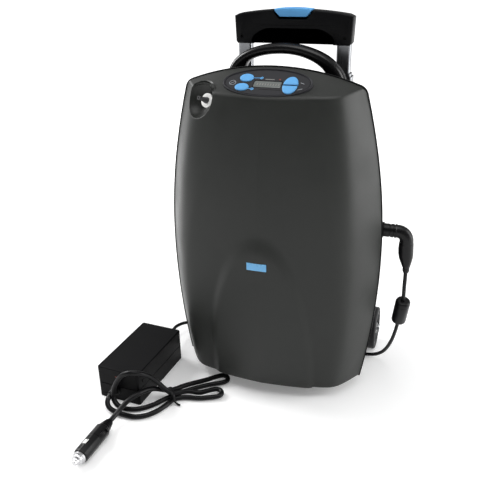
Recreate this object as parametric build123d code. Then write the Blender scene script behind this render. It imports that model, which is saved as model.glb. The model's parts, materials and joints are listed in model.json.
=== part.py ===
# Portable oxygen concentrator on its pull-along cart, with a vehicle power adapter on its lead.
# Millimetres, +Z up, front faces -Y. The model is laid out from the parting plane of the two
# case shells (y = 0) and is moved at the end so that its origin is the middle of its footprint.
import math
import os

from build123d import *

# ---------------------------------------------------------------- driving dimensions
CASE_BOTTOM = 18.0          # height of the case above the floor
CASE_TOP = 472.0            # top of the parting line, at the middle
WIDEST = 154.5              # largest half width of the parting line
WIDEST_HEIGHT = 215.0       # height at which it is widest
TAPER_UP = 6.2e-4           # half width lost per square millimetre above that
TAPER_DOWN = 4.6e-4         # and below it
TOP_ARC_RADIUS = 336.0      # arched top of the parting line
TOP_CORNER_RADIUS = 16.0
WALL = 3.0                  # case wall

FRONT_DEPTH = 77.0          # deepest point of the front shell, before its dome
FRONT_TUCK = 19.0           # depth lost towards the top and the bottom
FRONT_DEEPEST = 226.0       # height of the deepest point
FRONT_REACH = 208.0         # height difference over which the tuck is reached
DOME_RISE = 4.5             # how far the dome stands out of the front face
DECK_SLOPE = math.radians(28.0)   # fall of the control deck towards the front
DECK_REACH = 95.0           # from the parting line to where the deck has become level across

REAR_DEPTH = 94.0
REAR_NARROWING = 0.87       # size of the rear shell's back against its parting line
RIM_THICKNESS = 3.0
RIM_STANDOUT = 1.5

BAY_HALF_WIDTH = 115.0      # battery bay
BAY_BOTTOM = 24.0
BAY_TOP = 94.0
BATTERY_HALF_WIDTH = 111.0
BATTERY_HEIGHT = 64.0
BATTERY_DEPTH = 88.0
FACE_HALF_WIDTH = 116.5

WHEEL_RADIUS = 35.0
WHEEL_WIDTH = 20.0
WHEEL_INNER_X = 128.0
AXLE_Y = 117.0
AXLE_RADIUS = 4.0
AXLE_CLEARANCE = 0.05

TUBE_SPACING = 144.0        # between the two telescope columns
TUBE_Y = 107.0
GRIP_TOP = 535.0
GRIP_BOTTOM = 488.0
GRIP_HALF_WIDTH = 85.0
GRIP_DEPTH = 24.0

HANDLE_Y = 60.0             # carry handle
HANDLE_TOP = 496.0

LEAD_DIAMETER = 5.5         # adapter's output lead

ADAPTER_WIDTH = 69.0
ADAPTER_LENGTH = 133.0
ADAPTER_HEIGHT = 53.0
ADAPTER_CORNER = (-231.9, -138.1)   # front left corner on the floor
ADAPTER_YAW = -4.05                 # degrees about +Z

PANEL_CENTRE = (0.0, -28.0)         # x and y of the control panel's middle
PANEL_HALF_WIDTH = 59.0
PANEL_HALF_LENGTH = 28.0
PANEL_LEDGE = 2.5           # width of the step that the panel rests on

ORIGIN_SHIFT = 35.0         # the footprint's middle lies this far behind the parting plane

parts = {}


# ---------------------------------------------------------------- helpers
def block(x0, x1, y0, y1, z0, z1):
    """A box between two corners."""
    middle = ((x0 + x1) / 2, (y0 + y1) / 2, (z0 + z1) / 2)
    return Pos(*middle) * Box(x1 - x0, y1 - y0, z1 - z0)


def rounded_block(x0, x1, y0, y1, z0, z1, radius, axis=Axis.Z):
    """A box whose edges along one axis are rounded."""
    solid = block(x0, x1, y0, y1, z0, z1)
    return fillet(solid.edges().filter_by(axis), radius)


def rod(start, end, radius):
    """A round bar between two points."""
    a = Vector(*start)
    b = Vector(*end)
    direction = b - a
    plane = Plane(origin=a, z_dir=direction)
    return extrude(plane * Circle(radius), direction.length)


def ring(start, end, outer, inner):
    """A round bar with a hole along its length."""
    return rod(start, end, outer) - rod(start, end, inner)


def group(solids):
    """Separate solids kept as one node."""
    members = []
    for entry in solids:
        members.extend(entry.solids())
    return Compound(members)


def cord_tube(name, points, diameter):
    """A cord's plain tube: straight runs joined by arcs as large as their runs allow."""
    nodes = [Vector(*p) for p in points]
    radii = []
    for before, corner, after in zip(nodes, nodes[1:], nodes[2:]):
        run_in = corner - before
        run_out = after - corner
        turn = math.radians(run_in.get_angle(run_out))
        shorter = min(run_in.length, run_out.length)
        radii.append(0.45 * shorter / math.tan(turn / 2))
    path = FilletPolyline(*nodes, radius=radii)
    section = Plane(origin=path @ 0, z_dir=path % 0) * Circle(diameter / 2)
    tube = sweep(section, path=path)
    area = math.pi * diameter ** 2 / 4
    print(name, "radii", [round(r) for r in radii], "length", round(path.length),
          "volume ratio", round(tube.volume / (area * path.length), 4))
    return tube


# ---------------------------------------------------------------- case surfaces
def half_width(z):
    """Half width of the parting line at a height."""
    taper = TAPER_UP if z > WIDEST_HEIGHT else TAPER_DOWN
    return WIDEST - taper * (z - WIDEST_HEIGHT) ** 2


def front_depth(z):
    """Depth of the front shell at the middle, at a height."""
    return FRONT_DEPTH - FRONT_TUCK * ((z - FRONT_DEEPEST) / FRONT_REACH) ** 2


def arc_height(x):
    """Height of the parting line's arched top at a distance from the middle."""
    return CASE_TOP - TOP_ARC_RADIUS + math.sqrt(TOP_ARC_RADIUS ** 2 - x ** 2)


def deck_height(x, y):
    """Height of the control deck, which falls from the arched top to a level ridge."""
    level = CASE_TOP - DECK_REACH * math.tan(DECK_SLOPE)
    share = -y / DECK_REACH
    return arc_height(x) * (1 - share) + level * share


def parting_outline(inset=0.0):
    """The parting line's outline, as a face in the parting plane."""
    heights = [CASE_BOTTOM + inset, 80, 150, WIDEST_HEIGHT, 285, 350, 405]
    side = [(half_width(z) - inset, z) for z in heights]
    corner_x = 120.4 - inset
    corner = (corner_x, arc_height(corner_x) - inset)
    right = Spline(*side, corner)
    left = mirror(right, Plane.YZ)
    top = ThreePointArc(corner, (0, CASE_TOP - inset), (-corner[0], corner[1]))
    bottom = Line((-side[0][0], side[0][1]), side[0])
    face = make_face([bottom, right, top, left])
    top_corners = face.vertices().sort_by(Axis.Y)[-2:]
    return fillet(top_corners, TOP_CORNER_RADIUS)


def plan_section(z, inset=0.0, rise=0.0):
    """The front shell's cross section at a height."""
    width = half_width(z) - inset
    depth = front_depth(z) - inset + rise
    shares = [(1.0, 0.0), (0.924, 0.30), (0.83, 0.62), (0.74, 0.80), (0.55, 0.875), (0.30, 0.96)]
    right = [(width * across, -depth * out) for across, out in shares]
    left = [(-x, y) for x, y in reversed(right)]
    curve = Spline(*right, (0, -depth), *left)
    back = Line(left[-1], right[0])
    return Pos(0, 0, z) * make_face([curve, back])


def deck_cutter(inset=0.0):
    """Everything above the control deck."""
    level = CASE_TOP - DECK_REACH * math.tan(DECK_SLOPE) - inset
    side = 180.0
    high = 520.0
    arc = ThreePointArc((side, arc_height(side) - inset), (0, CASE_TOP - inset),
                        (-side, arc_height(side) - inset))
    box_top = Polyline((-side, arc_height(side) - inset), (-side, high), (side, high),
                       (side, arc_height(side) - inset))
    at_parting = make_face([arc, box_top])
    flat = make_face([Line((side, level), (-side, level)),
                      Polyline((-side, level), (-side, high), (side, high), (side, level))])
    start = Plane.XZ * at_parting
    end = Plane.XZ.offset(DECK_REACH) * flat
    return loft([start, end], ruled=True)


def front_volume(inset=0.0, rise=0.0):
    """The solid shape of the front half of the case."""
    low = CASE_BOTTOM + (inset if rise == 0.0 else 0.0)
    heights = [low, 90, 160, 230, 300, 370, 430, 480]
    body = loft([plan_section(z, inset, rise) for z in heights])
    bound = extrude(Plane.XZ * parting_outline(inset), 120)
    return (body & bound) - deck_cutter(inset)


def deck_plane(x, y, sink=0.0):
    """A plane on the control deck, its normal facing up and forward."""
    normal = (0, -math.sin(DECK_SLOPE), math.cos(DECK_SLOPE))
    base = Vector(x, y, deck_height(x, y))
    return Plane(origin=base - Vector(*normal) * sink, x_dir=(1, 0, 0), z_dir=normal)


# ---------------------------------------------------------------- front shell and control panel
POCKET_CENTRE = (-93.0, -43.0, 443.0)
POCKET_RADIUS = 25.0
OUTLET_BASE = Vector(-80.0, -29.0, 430.0)
OUTLET_AXIS = Vector(-0.36, -0.86, 0.36).normalized()
LENS_Z = 222.0
LENS_HALF_WIDTH = 14.0
LENS_HALF_HEIGHT = 5.5
BUTTON_HEIGHT = 2.8
# The four buttons on the panel: middle across, middle along the slope, half sizes.
BUTTONS = {
    "power_button": (-29.0, 7.5, 9.0, 7.5),
    "mode_button": (-31.0, -11.0, 9.0, 7.0),
}
ROCKER_MIDDLE = (31.0, -4.0)
ROCKER_HALF = (9.5, 16.5)
ROCKER_GAP = 2.4
SCREEN_MIDDLE = (1.0, -3.3)
SCREEN_SIZE = (38.0, 14.0)


def ellipse_prism(plane, half_x, half_y, height):
    return extrude(plane * Ellipse(half_x, half_y), height)


def dome_arch():
    """The raised dome low on the front face, as a prism through it."""
    outline = Spline((74, CASE_BOTTOM), (56, 120), (30, 205), (0, 242), (-30, 205), (-56, 120),
                     (-74, CASE_BOTTOM))
    base = Line((-74, CASE_BOTTOM), (74, CASE_BOTTOM))
    return extrude(Plane.XZ * make_face([outline, base]), 120)


def make_front_shell():
    outer = front_volume()
    dome = front_volume(rise=DOME_RISE) & dome_arch()
    hollow = front_volume(inset=WALL)
    shell = (outer + dome) - hollow
    backing = outer & (Pos(*POCKET_CENTRE) * Sphere(POCKET_RADIUS + WALL))
    shell = shell + backing - (Pos(*POCKET_CENTRE) * Sphere(POCKET_RADIUS))
    shell = shell + (rod(OUTLET_BASE - OUTLET_AXIS * 9, OUTLET_BASE + OUTLET_AXIS * 1.4, 9.8) & outer)
    panel_seat = deck_plane(*PANEL_CENTRE, sink=2.2)
    shell = shell - ellipse_prism(panel_seat, PANEL_HALF_WIDTH, PANEL_HALF_LENGTH, 20)
    shell = shell - ellipse_prism(panel_seat.offset(-6), PANEL_HALF_WIDTH - PANEL_LEDGE,
                                  PANEL_HALF_LENGTH - PANEL_LEDGE, 8)
    lens_hole = Pos(0, -70, LENS_Z) * Box(2 * LENS_HALF_WIDTH, 60, 2 * LENS_HALF_HEIGHT)
    shell = shell - lens_hole
    shell = shell - rod(OUTLET_BASE - OUTLET_AXIS * 12, OUTLET_BASE + OUTLET_AXIS * 6, 6.0)
    shell = shell - rod(OUTLET_BASE + OUTLET_AXIS * 1.4, OUTLET_BASE + OUTLET_AXIS * 6, 9.7)
    return max(shell.solids(), key=lambda s: s.volume)


def make_panel():
    seat = deck_plane(*PANEL_CENTRE, sink=2.1)
    plate = ellipse_prism(seat, PANEL_HALF_WIDTH - 0.3, PANEL_HALF_LENGTH - 0.3, 1.8)
    for across, along, half_x, half_y in BUTTONS.values():
        plate = plate - ellipse_prism(seat * Pos(across, along, -1), half_x + 0.3, half_y + 0.3, 5)
    rocker = ellipse_prism(seat * Pos(*ROCKER_MIDDLE, -1), ROCKER_HALF[0] + 0.3,
                           ROCKER_HALF[1] + 0.3, 5)
    bridge = seat * Pos(*ROCKER_MIDDLE, 1) * Box(40, ROCKER_GAP - 0.6, 8)
    plate = plate - (rocker - bridge)
    window = seat * Pos(*SCREEN_MIDDLE, 0) * Box(*SCREEN_SIZE, 8)
    return plate - window


def make_buttons():
    seat = deck_plane(*PANEL_CENTRE, sink=2.1)
    made = {}
    for name, (across, along, half_x, half_y) in BUTTONS.items():
        made[name] = ellipse_prism(seat * Pos(across, along, 0), half_x, half_y, BUTTON_HEIGHT)
    rocker = ellipse_prism(seat * Pos(*ROCKER_MIDDLE, 0), *ROCKER_HALF, BUTTON_HEIGHT)
    upper = seat * Pos(ROCKER_MIDDLE[0], ROCKER_MIDDLE[1] + ROCKER_GAP / 2 + 20, 0) * Box(60, 40, 20)
    lower = seat * Pos(ROCKER_MIDDLE[0], ROCKER_MIDDLE[1] - ROCKER_GAP / 2 - 20, 0) * Box(60, 40, 20)
    made["plus_button"] = rocker & upper
    made["minus_button"] = rocker & lower
    return made


def make_display():
    seat = deck_plane(*PANEL_CENTRE, sink=2.1)
    middle = seat * Pos(*SCREEN_MIDDLE, 0.2)
    return middle * Box(SCREEN_SIZE[0] - 0.4, SCREEN_SIZE[1] - 0.4, 2.4)


def make_outlet():
    """White collar ring and the grey barbed nozzle in its middle."""
    face = OUTLET_BASE + OUTLET_AXIS * 4
    collar = ring(OUTLET_BASE - OUTLET_AXIS * 10, face, 5.9, 2.6)
    flange = ring(OUTLET_BASE + OUTLET_AXIS * 1.5, face, 9.4, 2.6)
    nozzle = rod(OUTLET_BASE - OUTLET_AXIS * 14, OUTLET_BASE + OUTLET_AXIS * 20, 2.5)
    seat = Plane(origin=face + OUTLET_AXIS * 0.1, z_dir=OUTLET_AXIS)
    barb = loft([seat * Circle(4.4), seat.offset(4) * Circle(3.6), seat.offset(9) * Circle(2.5)])
    bore = rod(OUTLET_BASE - OUTLET_AXIS * 20, OUTLET_BASE + OUTLET_AXIS * 24, 1.2)
    return collar + flange, nozzle + barb - bore


def make_lens():
    """Barrel-shaped light window in the front face."""
    body = front_volume(rise=DOME_RISE + 0.5)
    prism = Pos(0, -70, LENS_Z) * Box(2 * LENS_HALF_WIDTH - 0.4, 60, 2 * LENS_HALF_HEIGHT - 0.4)
    hollow = front_volume(inset=WALL)
    return (body & prism) - hollow


# ---------------------------------------------------------------- rear shell and parting rim
# Distance behind the parting plane and size of the rear shell's outline there.
REAR_STATIONS = ((RIM_THICKNESS, 1.0), (25.0, 0.985), (60.0, 0.952), (84.0, 0.905),
                 (REAR_DEPTH, REAR_NARROWING))
INLET_Y = 15.0
INLET_Z = 256.0
EXHAUST_Z = (330.0, 400.0)
FILTER_Z = (160.0, 290.0)
FILTER_HALF_WIDTH = 46.0
SCREW_HEIGHTS = (160.0, 265.0, 370.0)
SCREW_RADIUS = 3.4


def rear_volume(inset=0.0):
    """The solid shape of the rear half, narrowing towards the back."""
    faces = []
    base = parting_outline()
    middle_z = CASE_BOTTOM
    for y, size in REAR_STATIONS:
        depth = y - (inset if y == REAR_DEPTH else 0.0)
        shrink = size * (1 - inset / WIDEST)
        raised = Pos(0, middle_z * (1 - shrink) + inset * 0.5, 0) * scale(base, shrink)
        faces.append(Plane.XZ.offset(-depth) * raised)
    return loft(faces, ruled=True)


def bay_opening():
    return block(-BAY_HALF_WIDTH - 2.6, BAY_HALF_WIDTH + 2.6, -60, REAR_DEPTH + 5,
                 BAY_BOTTOM - 2.6, BAY_TOP + 2.6)


def rear_skin():
    """The rear shell's wall before any opening is cut in it."""
    return rear_volume() - rear_volume(inset=WALL)


def make_rear_shell():
    shell = rear_skin()
    shell = shell - bay_opening()
    shell = shell - rod((100, INLET_Y, INLET_Z), (200, INLET_Y, INLET_Z), 8.0)
    half = FILTER_HALF_WIDTH
    shell = shell - block(-half, half, REAR_DEPTH - 10, REAR_DEPTH + 5, *FILTER_Z)
    shell = shell - block(-half, half, REAR_DEPTH - 10, REAR_DEPTH + 5, *EXHAUST_Z)
    for screw in make_case_screws().solids():
        shell = shell - screw
    return max(shell.solids(), key=lambda s: s.volume)


def make_parting_rim():
    """Thin dark rim between the shells, standing slightly proud of both."""
    outer = parting_outline(inset=-RIM_STANDOUT)
    inner = parting_outline(inset=WALL)
    strip = extrude(Plane.XZ.offset(-RIM_THICKNESS) * outer, RIM_THICKNESS)
    strip = strip - extrude(Plane.XZ.offset(-RIM_THICKNESS - 1) * inner, RIM_THICKNESS + 2)
    return strip - block(-WIDEST, WIDEST, -1, RIM_THICKNESS + 1, 0, CASE_BOTTOM)


def make_louvre_panel(z0, z1, depth):
    """A louvred cover let into the back."""
    half = FILTER_HALF_WIDTH - 0.5
    cover = block(-half, half, REAR_DEPTH - depth, REAR_DEPTH + 1.5, z0 + 0.5, z1 - 0.5)
    cover = fillet(cover.edges().filter_by(Axis.Y), 5)
    slots = int((z1 - z0 - 16) / 9)
    pitch = (z1 - z0 - 16) / slots
    for index in range(slots):
        z = z0 + 8 + pitch * (index + 0.5)
        cover = cover - block(-half + 8, half - 8, REAR_DEPTH - depth - 1, REAR_DEPTH + 3,
                              z - 2.1, z + 2.1)
    return cover


def make_inlet():
    """Power inlet: a round socket in the rear shell's side."""
    body = rod((128, INLET_Y, INLET_Z), (151.5, INLET_Y, INLET_Z), 7.9)
    flange = rod((150.0, INLET_Y, INLET_Z), (155.0, INLET_Y, INLET_Z), 10.8)
    well = rod((134, INLET_Y, INLET_Z), (160, INLET_Y, INLET_Z), 6.0)
    pin = rod((130, INLET_Y, INLET_Z), (148, INLET_Y, INLET_Z), 1.2)
    return body + flange - rear_skin() - well + pin


def make_carry_handle():
    """Arched carry handle fixed to the top of the rear shell."""
    foot_z = 426.0
    path = Spline((-86, HANDLE_Y, foot_z), (-73, HANDLE_Y, 461), (-38, HANDLE_Y, 484),
                  (0, HANDLE_Y, HANDLE_TOP - 7.5), (38, HANDLE_Y, 484), (73, HANDLE_Y, 461),
                  (86, HANDLE_Y, foot_z), tangents=[(0.35, 0, 1), (0.35, 0, -1)])
    section = Plane(origin=path @ 0, x_dir=(0, 1, 0), z_dir=path % 0) * Ellipse(12, 7.5)
    handle = sweep(section, path=path)
    return handle - rear_volume()


def make_case_screws():
    """Screws that hold the shells together and the carry handle on."""
    screws = []
    for x in (-100, 100):
        for z in SCREW_HEIGHTS:
            screws.append(rod((x, REAR_DEPTH - 14, z), (x, REAR_DEPTH - 1.2, z), SCREW_RADIUS))
    return group(screws)


# ---------------------------------------------------------------- inside the case
DECK_Z = 100.0              # platform over the battery bay that carries the works
COMPRESSOR_X = -52.0
COMPRESSOR_Y = 14.0
SHAFT_Z = 158.0


def make_chassis():
    """Battery bay housing with the platform over it."""
    outside = block(-BAY_HALF_WIDTH - 2.2, BAY_HALF_WIDTH + 2.2, -4, REAR_DEPTH - 4,
                    BAY_BOTTOM - 2.2, BAY_TOP + 2.2)
    inside = block(-BAY_HALF_WIDTH, BAY_HALF_WIDTH, -2, REAR_DEPTH + 5, BAY_BOTTOM, BAY_TOP)
    platform = block(-116, 116, -38, REAR_DEPTH - 14, BAY_TOP + 2.2, DECK_Z)
    legs = [block(x - 4, x + 4, -36, -28, 21.2, BAY_TOP + 2.3) for x in (-80, 80)]
    socket = block(-31, 31, -10, 0, 39, 61)
    return (outside - inside) + platform + legs[0] + legs[1] - socket


def make_compressor():
    """Twin-head compressor: hollow crankcase, motor, heads and a crankshaft on its bearings."""
    x, y, z = COMPRESSOR_X, COMPRESSOR_Y, SHAFT_Z
    crankcase = rounded_block(x - 34, x + 34, y - 26, y + 26, z - 36, z + 30, 8, Axis.Y)
    cavity = rod((x - 28, y, z), (x + 28, y, z), 23)
    crankcase = crankcase - cavity
    for side in (-1, 1):
        crankcase = crankcase - rod((x + side * 20, y, z), (x + side * 20, y, z + 60), 12)
    crankcase = crankcase - rod((x - 60, y, z), (x + 60, y, z), 5.05)
    motor = ring((x + 34, y, z), (x + 92, y, z), 30, 5.6)
    shaft = rod((x - 33, y, z), (x + 90, y, z), 5.0)
    for side in (-1, 1):
        shaft = shaft + rod((x + side * 20 - 5, y, z + 3 * side), (x + side * 20 + 5, y, z + 3 * side), 12)
    heads = []
    for side in (-1, 1):
        column = ring((x + side * 20, y, z + 30), (x + side * 20, y, z + 52), 15.5, 12)
        cap = rounded_block(x + side * 20 - 18, x + side * 20 + 18, y - 20, y + 20, z + 52, z + 64, 4)
        heads.append(column)
        heads.append(cap)
    return crankcase, motor, shaft, group(heads)


def make_isolation_mounts():
    mounts = []
    for dx in (-26, 26):
        for dy in (-18, 18):
            x, y = COMPRESSOR_X + dx, COMPRESSOR_Y + dy
            mounts.append(rod((x, y, DECK_Z), (x, y, SHAFT_Z - 36), 7))
    return group(mounts)


SIEVE_X = 84.0
SIEVE_SPACING = 31.0
VALVE_Z = 130.0


def make_sieve_module():
    """Five sieve columns round a rotary valve, between a top and a bottom manifold."""
    columns = []
    places = [(SIEVE_X + dx, 14 + dy) for dx in (-SIEVE_SPACING / 2, SIEVE_SPACING / 2)
              for dy in (-SIEVE_SPACING, 0, SIEVE_SPACING)]
    for x, y in places:
        columns.append(rod((x, y, 150), (x, y, 330), 13.5))
    half = SIEVE_SPACING / 2 + 15
    base = rounded_block(SIEVE_X - half, SIEVE_X + half, 14 - 47, 14 + 47, 112, 150, 6)
    base = base - rod((SIEVE_X, 14, 108), (SIEVE_X, 14, 140), 16.05)
    top = rounded_block(SIEVE_X - half, SIEVE_X + half, 14 - 47, 14 + 47, 330, 348, 6)
    rotor = rod((SIEVE_X, 14, 113), (SIEVE_X, 14, 138), 16.0)
    rotor = rotor - rod((SIEVE_X + 8, 14, 113), (SIEVE_X + 8, 14, 145), 3)
    motor = rod((SIEVE_X, 14, DECK_Z), (SIEVE_X, 14, 112), 15)
    return group(columns), group([base, top]), rotor, motor


def make_product_tank():
    tank = rod((-76, 30, 356), (44, 30, 356), 22)
    return fillet(tank.edges(), 8)


def make_cooling_coil():
    """Serpentine heat exchanger between the compressor and the sieve module."""
    x0, x1, y = -92.0, -12.0, 66.0
    turns = 4
    pitch = 17.0
    points = []
    for index in range(turns):
        z = 236 + pitch * index
        ends = (x0, x1) if index % 2 == 0 else (x1, x0)
        points.append((ends[0], y, z))
        points.append((ends[1], y, z))
    path = FilletPolyline(*points, radius=7)
    section = Plane(origin=path @ 0, z_dir=path % 0) * Circle(3)
    return sweep(section, path=path)


FAN_Z = 262.0
FAN_X = -52.0
FAN_Y = 30.0


def make_fan():
    """Axial fan: square frame, hub and seven twisted blades."""
    frame = rounded_block(FAN_X - 40, FAN_X + 40, FAN_Y - 12, FAN_Y + 12, FAN_Z - 32, FAN_Z + 48, 4,
                          Axis.Y)
    middle = (FAN_X, FAN_Z + 8)
    frame = frame - rod((middle[0], FAN_Y - 20, middle[1]), (middle[0], FAN_Y + 20, middle[1]), 36.5)
    spider = block(middle[0] - 38, middle[0] + 38, FAN_Y + 9, FAN_Y + 12, middle[1] - 3, middle[1] + 3)
    spider = spider + block(middle[0] - 3, middle[0] + 3, FAN_Y + 9, FAN_Y + 12, middle[1] - 38,
                            middle[1] + 38)
    frame = frame + spider
    frame = frame - rod((middle[0], FAN_Y, middle[1]), (middle[0], FAN_Y + 20, middle[1]), 2.05)
    hub = rod((middle[0], FAN_Y - 9, middle[1]), (middle[0], FAN_Y + 8, middle[1]), 13)
    hub = hub + rod((middle[0], FAN_Y + 8, middle[1]), (middle[0], FAN_Y + 12, middle[1]), 2.0)
    blades = 7
    for index in range(blades):
        blade = Pos(0, 0, 23.5) * Rot(0, 0, 35) * Box(12, 1.6, 23)
        hub = hub + Pos(middle[0], FAN_Y, middle[1]) * Rot(0, 360 / blades * index, 0) * blade
    return frame, hub


def make_electronics():
    board = block(-70, 40, -46, -44.4, 250, 400)
    board = board + block(-60, -30, -44.5, -30, 270, 300) + block(0, 30, -44.5, -34, 340, 370)
    valve = rounded_block(-84, -56, -24, -2, 378, 406, 3)
    valve = valve + rod((-70, -13, 405.9), (-70, -13, 414), 6)
    connector = block(-30, 30, -12, -4.1, 40, 60) + block(-24, 24, -4.2, 3.6, 44, 56)
    return board, valve, connector


def make_oxygen_tube():
    """Tube from the dispensing valve up to the outlet nozzle."""
    end = OUTLET_BASE - OUTLET_AXIS * 14
    before = end - OUTLET_AXIS * 7
    start = (-70, -13, 414)
    path = FilletPolyline(start, (start[0], start[1], 421), tuple(before), tuple(end), radius=[3.0, 2.5])
    section = Plane(origin=path @ 0, z_dir=path % 0) * Circle(2.4)
    return sweep(section, path=path)


# ---------------------------------------------------------------- battery cartridge
BATTERY_FRONT_Y = REAR_DEPTH + 2.0      # inner side of the face plate


def make_battery():
    """Cartridge with its case, label lid, face plate, thumb latch and cells."""
    z0 = BAY_BOTTOM + 2.5
    z1 = z0 + BATTERY_HEIGHT
    y0 = BATTERY_FRONT_Y - BATTERY_DEPTH
    half = BATTERY_HALF_WIDTH
    case = rounded_block(-half, half, y0, BATTERY_FRONT_Y, z0, z1 - 2.5, 3)
    case = case - block(-half + 2.5, half - 2.5, y0 + 2.5, BATTERY_FRONT_Y - 2.5, z0 + 2.5, z1)
    case = case - block(-26, 26, y0 - 1, y0 + 4, 42, 58)
    for index in range(9):
        y = y0 + 14 + 8 * index
        for side in (-1, 1):
            case = case - (Pos(side * half, y, z0 + 18) * Box(1.6, 4, 26))
    lid = rounded_block(-half, half, y0, BATTERY_FRONT_Y, z1 - 2.4, z1, 3)
    cells = []
    for row in range(2):
        for index in range(8):
            x = -91 + 26 * index
            z = z0 + 15.5 + 25 * row
            cells.append(rod((x, y0 + 8, z), (x, BATTERY_FRONT_Y - 8, z), 11.5))
    return group([case, lid]), group(cells)


def make_battery_face():
    """Face plate: flared wings, two channels and the middle dome that holds the latch."""
    y = BATTERY_FRONT_Y
    z0, z1 = BAY_BOTTOM - 2.0, BAY_TOP + 1.0
    half = FACE_HALF_WIDTH
    plan = Polyline((-half, 0), (-half, 15), (-half + 4, 17), (-half + 14, 9), (half - 14, 9),
                    (half - 4, 17), (half, 15), (half, 0), (-half, 0))
    plate = extrude(Plane.XY * make_face(plan), z1 - z0)
    plate = Pos(0, y, z0) * plate
    arch = Spline((48, z0), (40, z0 + 34), (20, z1 - 8), (0, z1 - 2), (-20, z1 - 8), (-40, z0 + 34),
                  (-48, z0))
    outline = make_face([arch, Line((-48, z0), (48, z0))])
    bulge = extrude(Plane.XZ.offset(-y - 30) * outline, 30)
    crown = Pos(0, y - 52, z0 - 10) * Sphere(76)
    dome = bulge & crown
    plate = plate + dome
    slot = block(-17, 17, y + 8, y + 40, z0 + 10, z0 + 48)
    slot = slot + rod((0, y + 8, z0 + 48), (0, y + 40, z0 + 48), 17)
    return plate - slot


def make_latch():
    """Thumb latch with an arched top, in the dome's recess."""
    y = BATTERY_FRONT_Y
    z0 = BAY_BOTTOM - 2.0
    body = block(-15.5, 15.5, y + 8.2, y + 20, z0 + 10.5, z0 + 44)
    body = body + rod((0, y + 8.2, z0 + 44), (0, y + 20, z0 + 44), 15.5)
    scoop = Pos(0, y + 34, z0 + 34) * Sphere(22)
    return body - scoop


# ---------------------------------------------------------------- cart
RAIL_INNER = 119.0
RAIL_OUTER = 126.0
BRACKET_Z = (104.0, 138.0)
TOE_Z = (13.5, CASE_BOTTOM)
FOOT_Y = -20.0
FOOT_X = 62.0
STAGES = {"outer": (14.0, 10.8), "middle": (12.2, 9.0), "inner": (10.0, 6.6)}   # half sizes
STAGE_WALL = 1.2
STAGE_TOP = {"outer": 446.0, "middle": 450.0, "inner": GRIP_BOTTOM + 10}
STAGE_BOTTOM = {"outer": 112.0, "middle": 118.0, "inner": 148.0}


def make_cart_frame():
    """Side rails, cross bracket and the toe plate that the case stands on."""
    rail_profile = [(98, 13.5), (104, 13.5), (108, 22), (126, 22), (130, 30), (130, 60),
                    (120, BRACKET_Z[1]), (98, BRACKET_Z[1])]
    face = make_face(Plane.YZ * Polyline(*rail_profile, close=True))
    rail = Pos(RAIL_INNER, 0, 0) * extrude(face, RAIL_OUTER - RAIL_INNER, dir=(1, 0, 0))
    bracket = block(-RAIL_OUTER, RAIL_OUTER, REAR_DEPTH, 120, *BRACKET_Z)
    plan = Polyline((-80, -34), (80, -34), (110, 4), (110, 90), (RAIL_OUTER, 96), (RAIL_OUTER, 104),
                    (-RAIL_OUTER, 104), (-RAIL_OUTER, 96), (-110, 90), (-110, 4), close=True)
    toe = Pos(0, 0, TOE_Z[0]) * extrude(make_face(plan), TOE_Z[1] - TOE_Z[0])
    frame = bracket + toe + rail + mirror(rail, Plane.YZ)
    for side in (-1, 1):
        frame = frame - tube_solid(side, STAGES["outer"], STAGE_BOTTOM["outer"], 200)
        frame = frame - rod((side * 118, AXLE_Y, WHEEL_RADIUS), (side * 130, AXLE_Y, WHEEL_RADIUS),
                            AXLE_RADIUS)
    return frame


def tube_solid(side, half_sizes, z0, z1):
    x = side * TUBE_SPACING / 2
    half_x, half_y = half_sizes
    tube = block(x - half_x, x + half_x, TUBE_Y - half_y, TUBE_Y + half_y, z0, z1)
    return fillet(tube.edges().filter_by(Axis.Z), 3.0)


def make_stage(name):
    """One pair of telescope tubes."""
    half_x, half_y = STAGES[name]
    tubes = []
    for side in (-1, 1):
        outside = tube_solid(side, (half_x, half_y), STAGE_BOTTOM[name], STAGE_TOP[name])
        inside = tube_solid(side, (half_x - STAGE_WALL, half_y - STAGE_WALL),
                            STAGE_BOTTOM[name] - 1, STAGE_TOP[name] + 1)
        tubes.append(outside - inside)
    return group(tubes)


BUTTON_HALF = 27.0          # release button's well, open to the top and the front
BUTTON_WELL_Z = 521.0


def make_grip():
    """Arched pull handle joining the two inner tubes, with the release button's recess."""
    half = GRIP_HALF_WIDTH
    top = ThreePointArc((-half, 528), (0, GRIP_TOP), (half, 528))
    right = Polyline((half, 528), (half, GRIP_BOTTOM), (58, GRIP_BOTTOM))
    arch = Spline((58, GRIP_BOTTOM), (52, 500), (34, 507), (0, 505.5), (-34, 507), (-52, 500),
                  (-58, GRIP_BOTTOM))
    left = Polyline((-58, GRIP_BOTTOM), (-half, GRIP_BOTTOM), (-half, 528))
    outline = make_face([top, right, arch, left])
    grip = extrude(Plane.XZ.offset(-TUBE_Y - GRIP_DEPTH / 2) * outline, GRIP_DEPTH)
    long_edges = grip.faces().sort_by(Axis.Z)[-1].edges()
    grip = chamfer(long_edges, 3.0)
    well = block(-BUTTON_HALF, BUTTON_HALF, TUBE_Y - 20, TUBE_Y + 9.5, BUTTON_WELL_Z, 545)
    grip = grip - well
    for side in (-1, 1):
        grip = grip - tube_solid(side, STAGES["inner"], 470, STAGE_TOP["inner"])
    return grip


def make_grip_button():
    low = BUTTON_WELL_Z + 3.5
    key = block(-BUTTON_HALF + 0.4, BUTTON_HALF - 0.4, TUBE_Y - 11.8, TUBE_Y + 9.1, low, GRIP_TOP + 2)
    key = fillet(key.edges().filter_by(Axis.Y).sort_by(Axis.Z)[-2:], 4)
    return chamfer(key.edges().filter_by(Axis.Y).sort_by(Axis.Z)[:2], 5)


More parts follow.
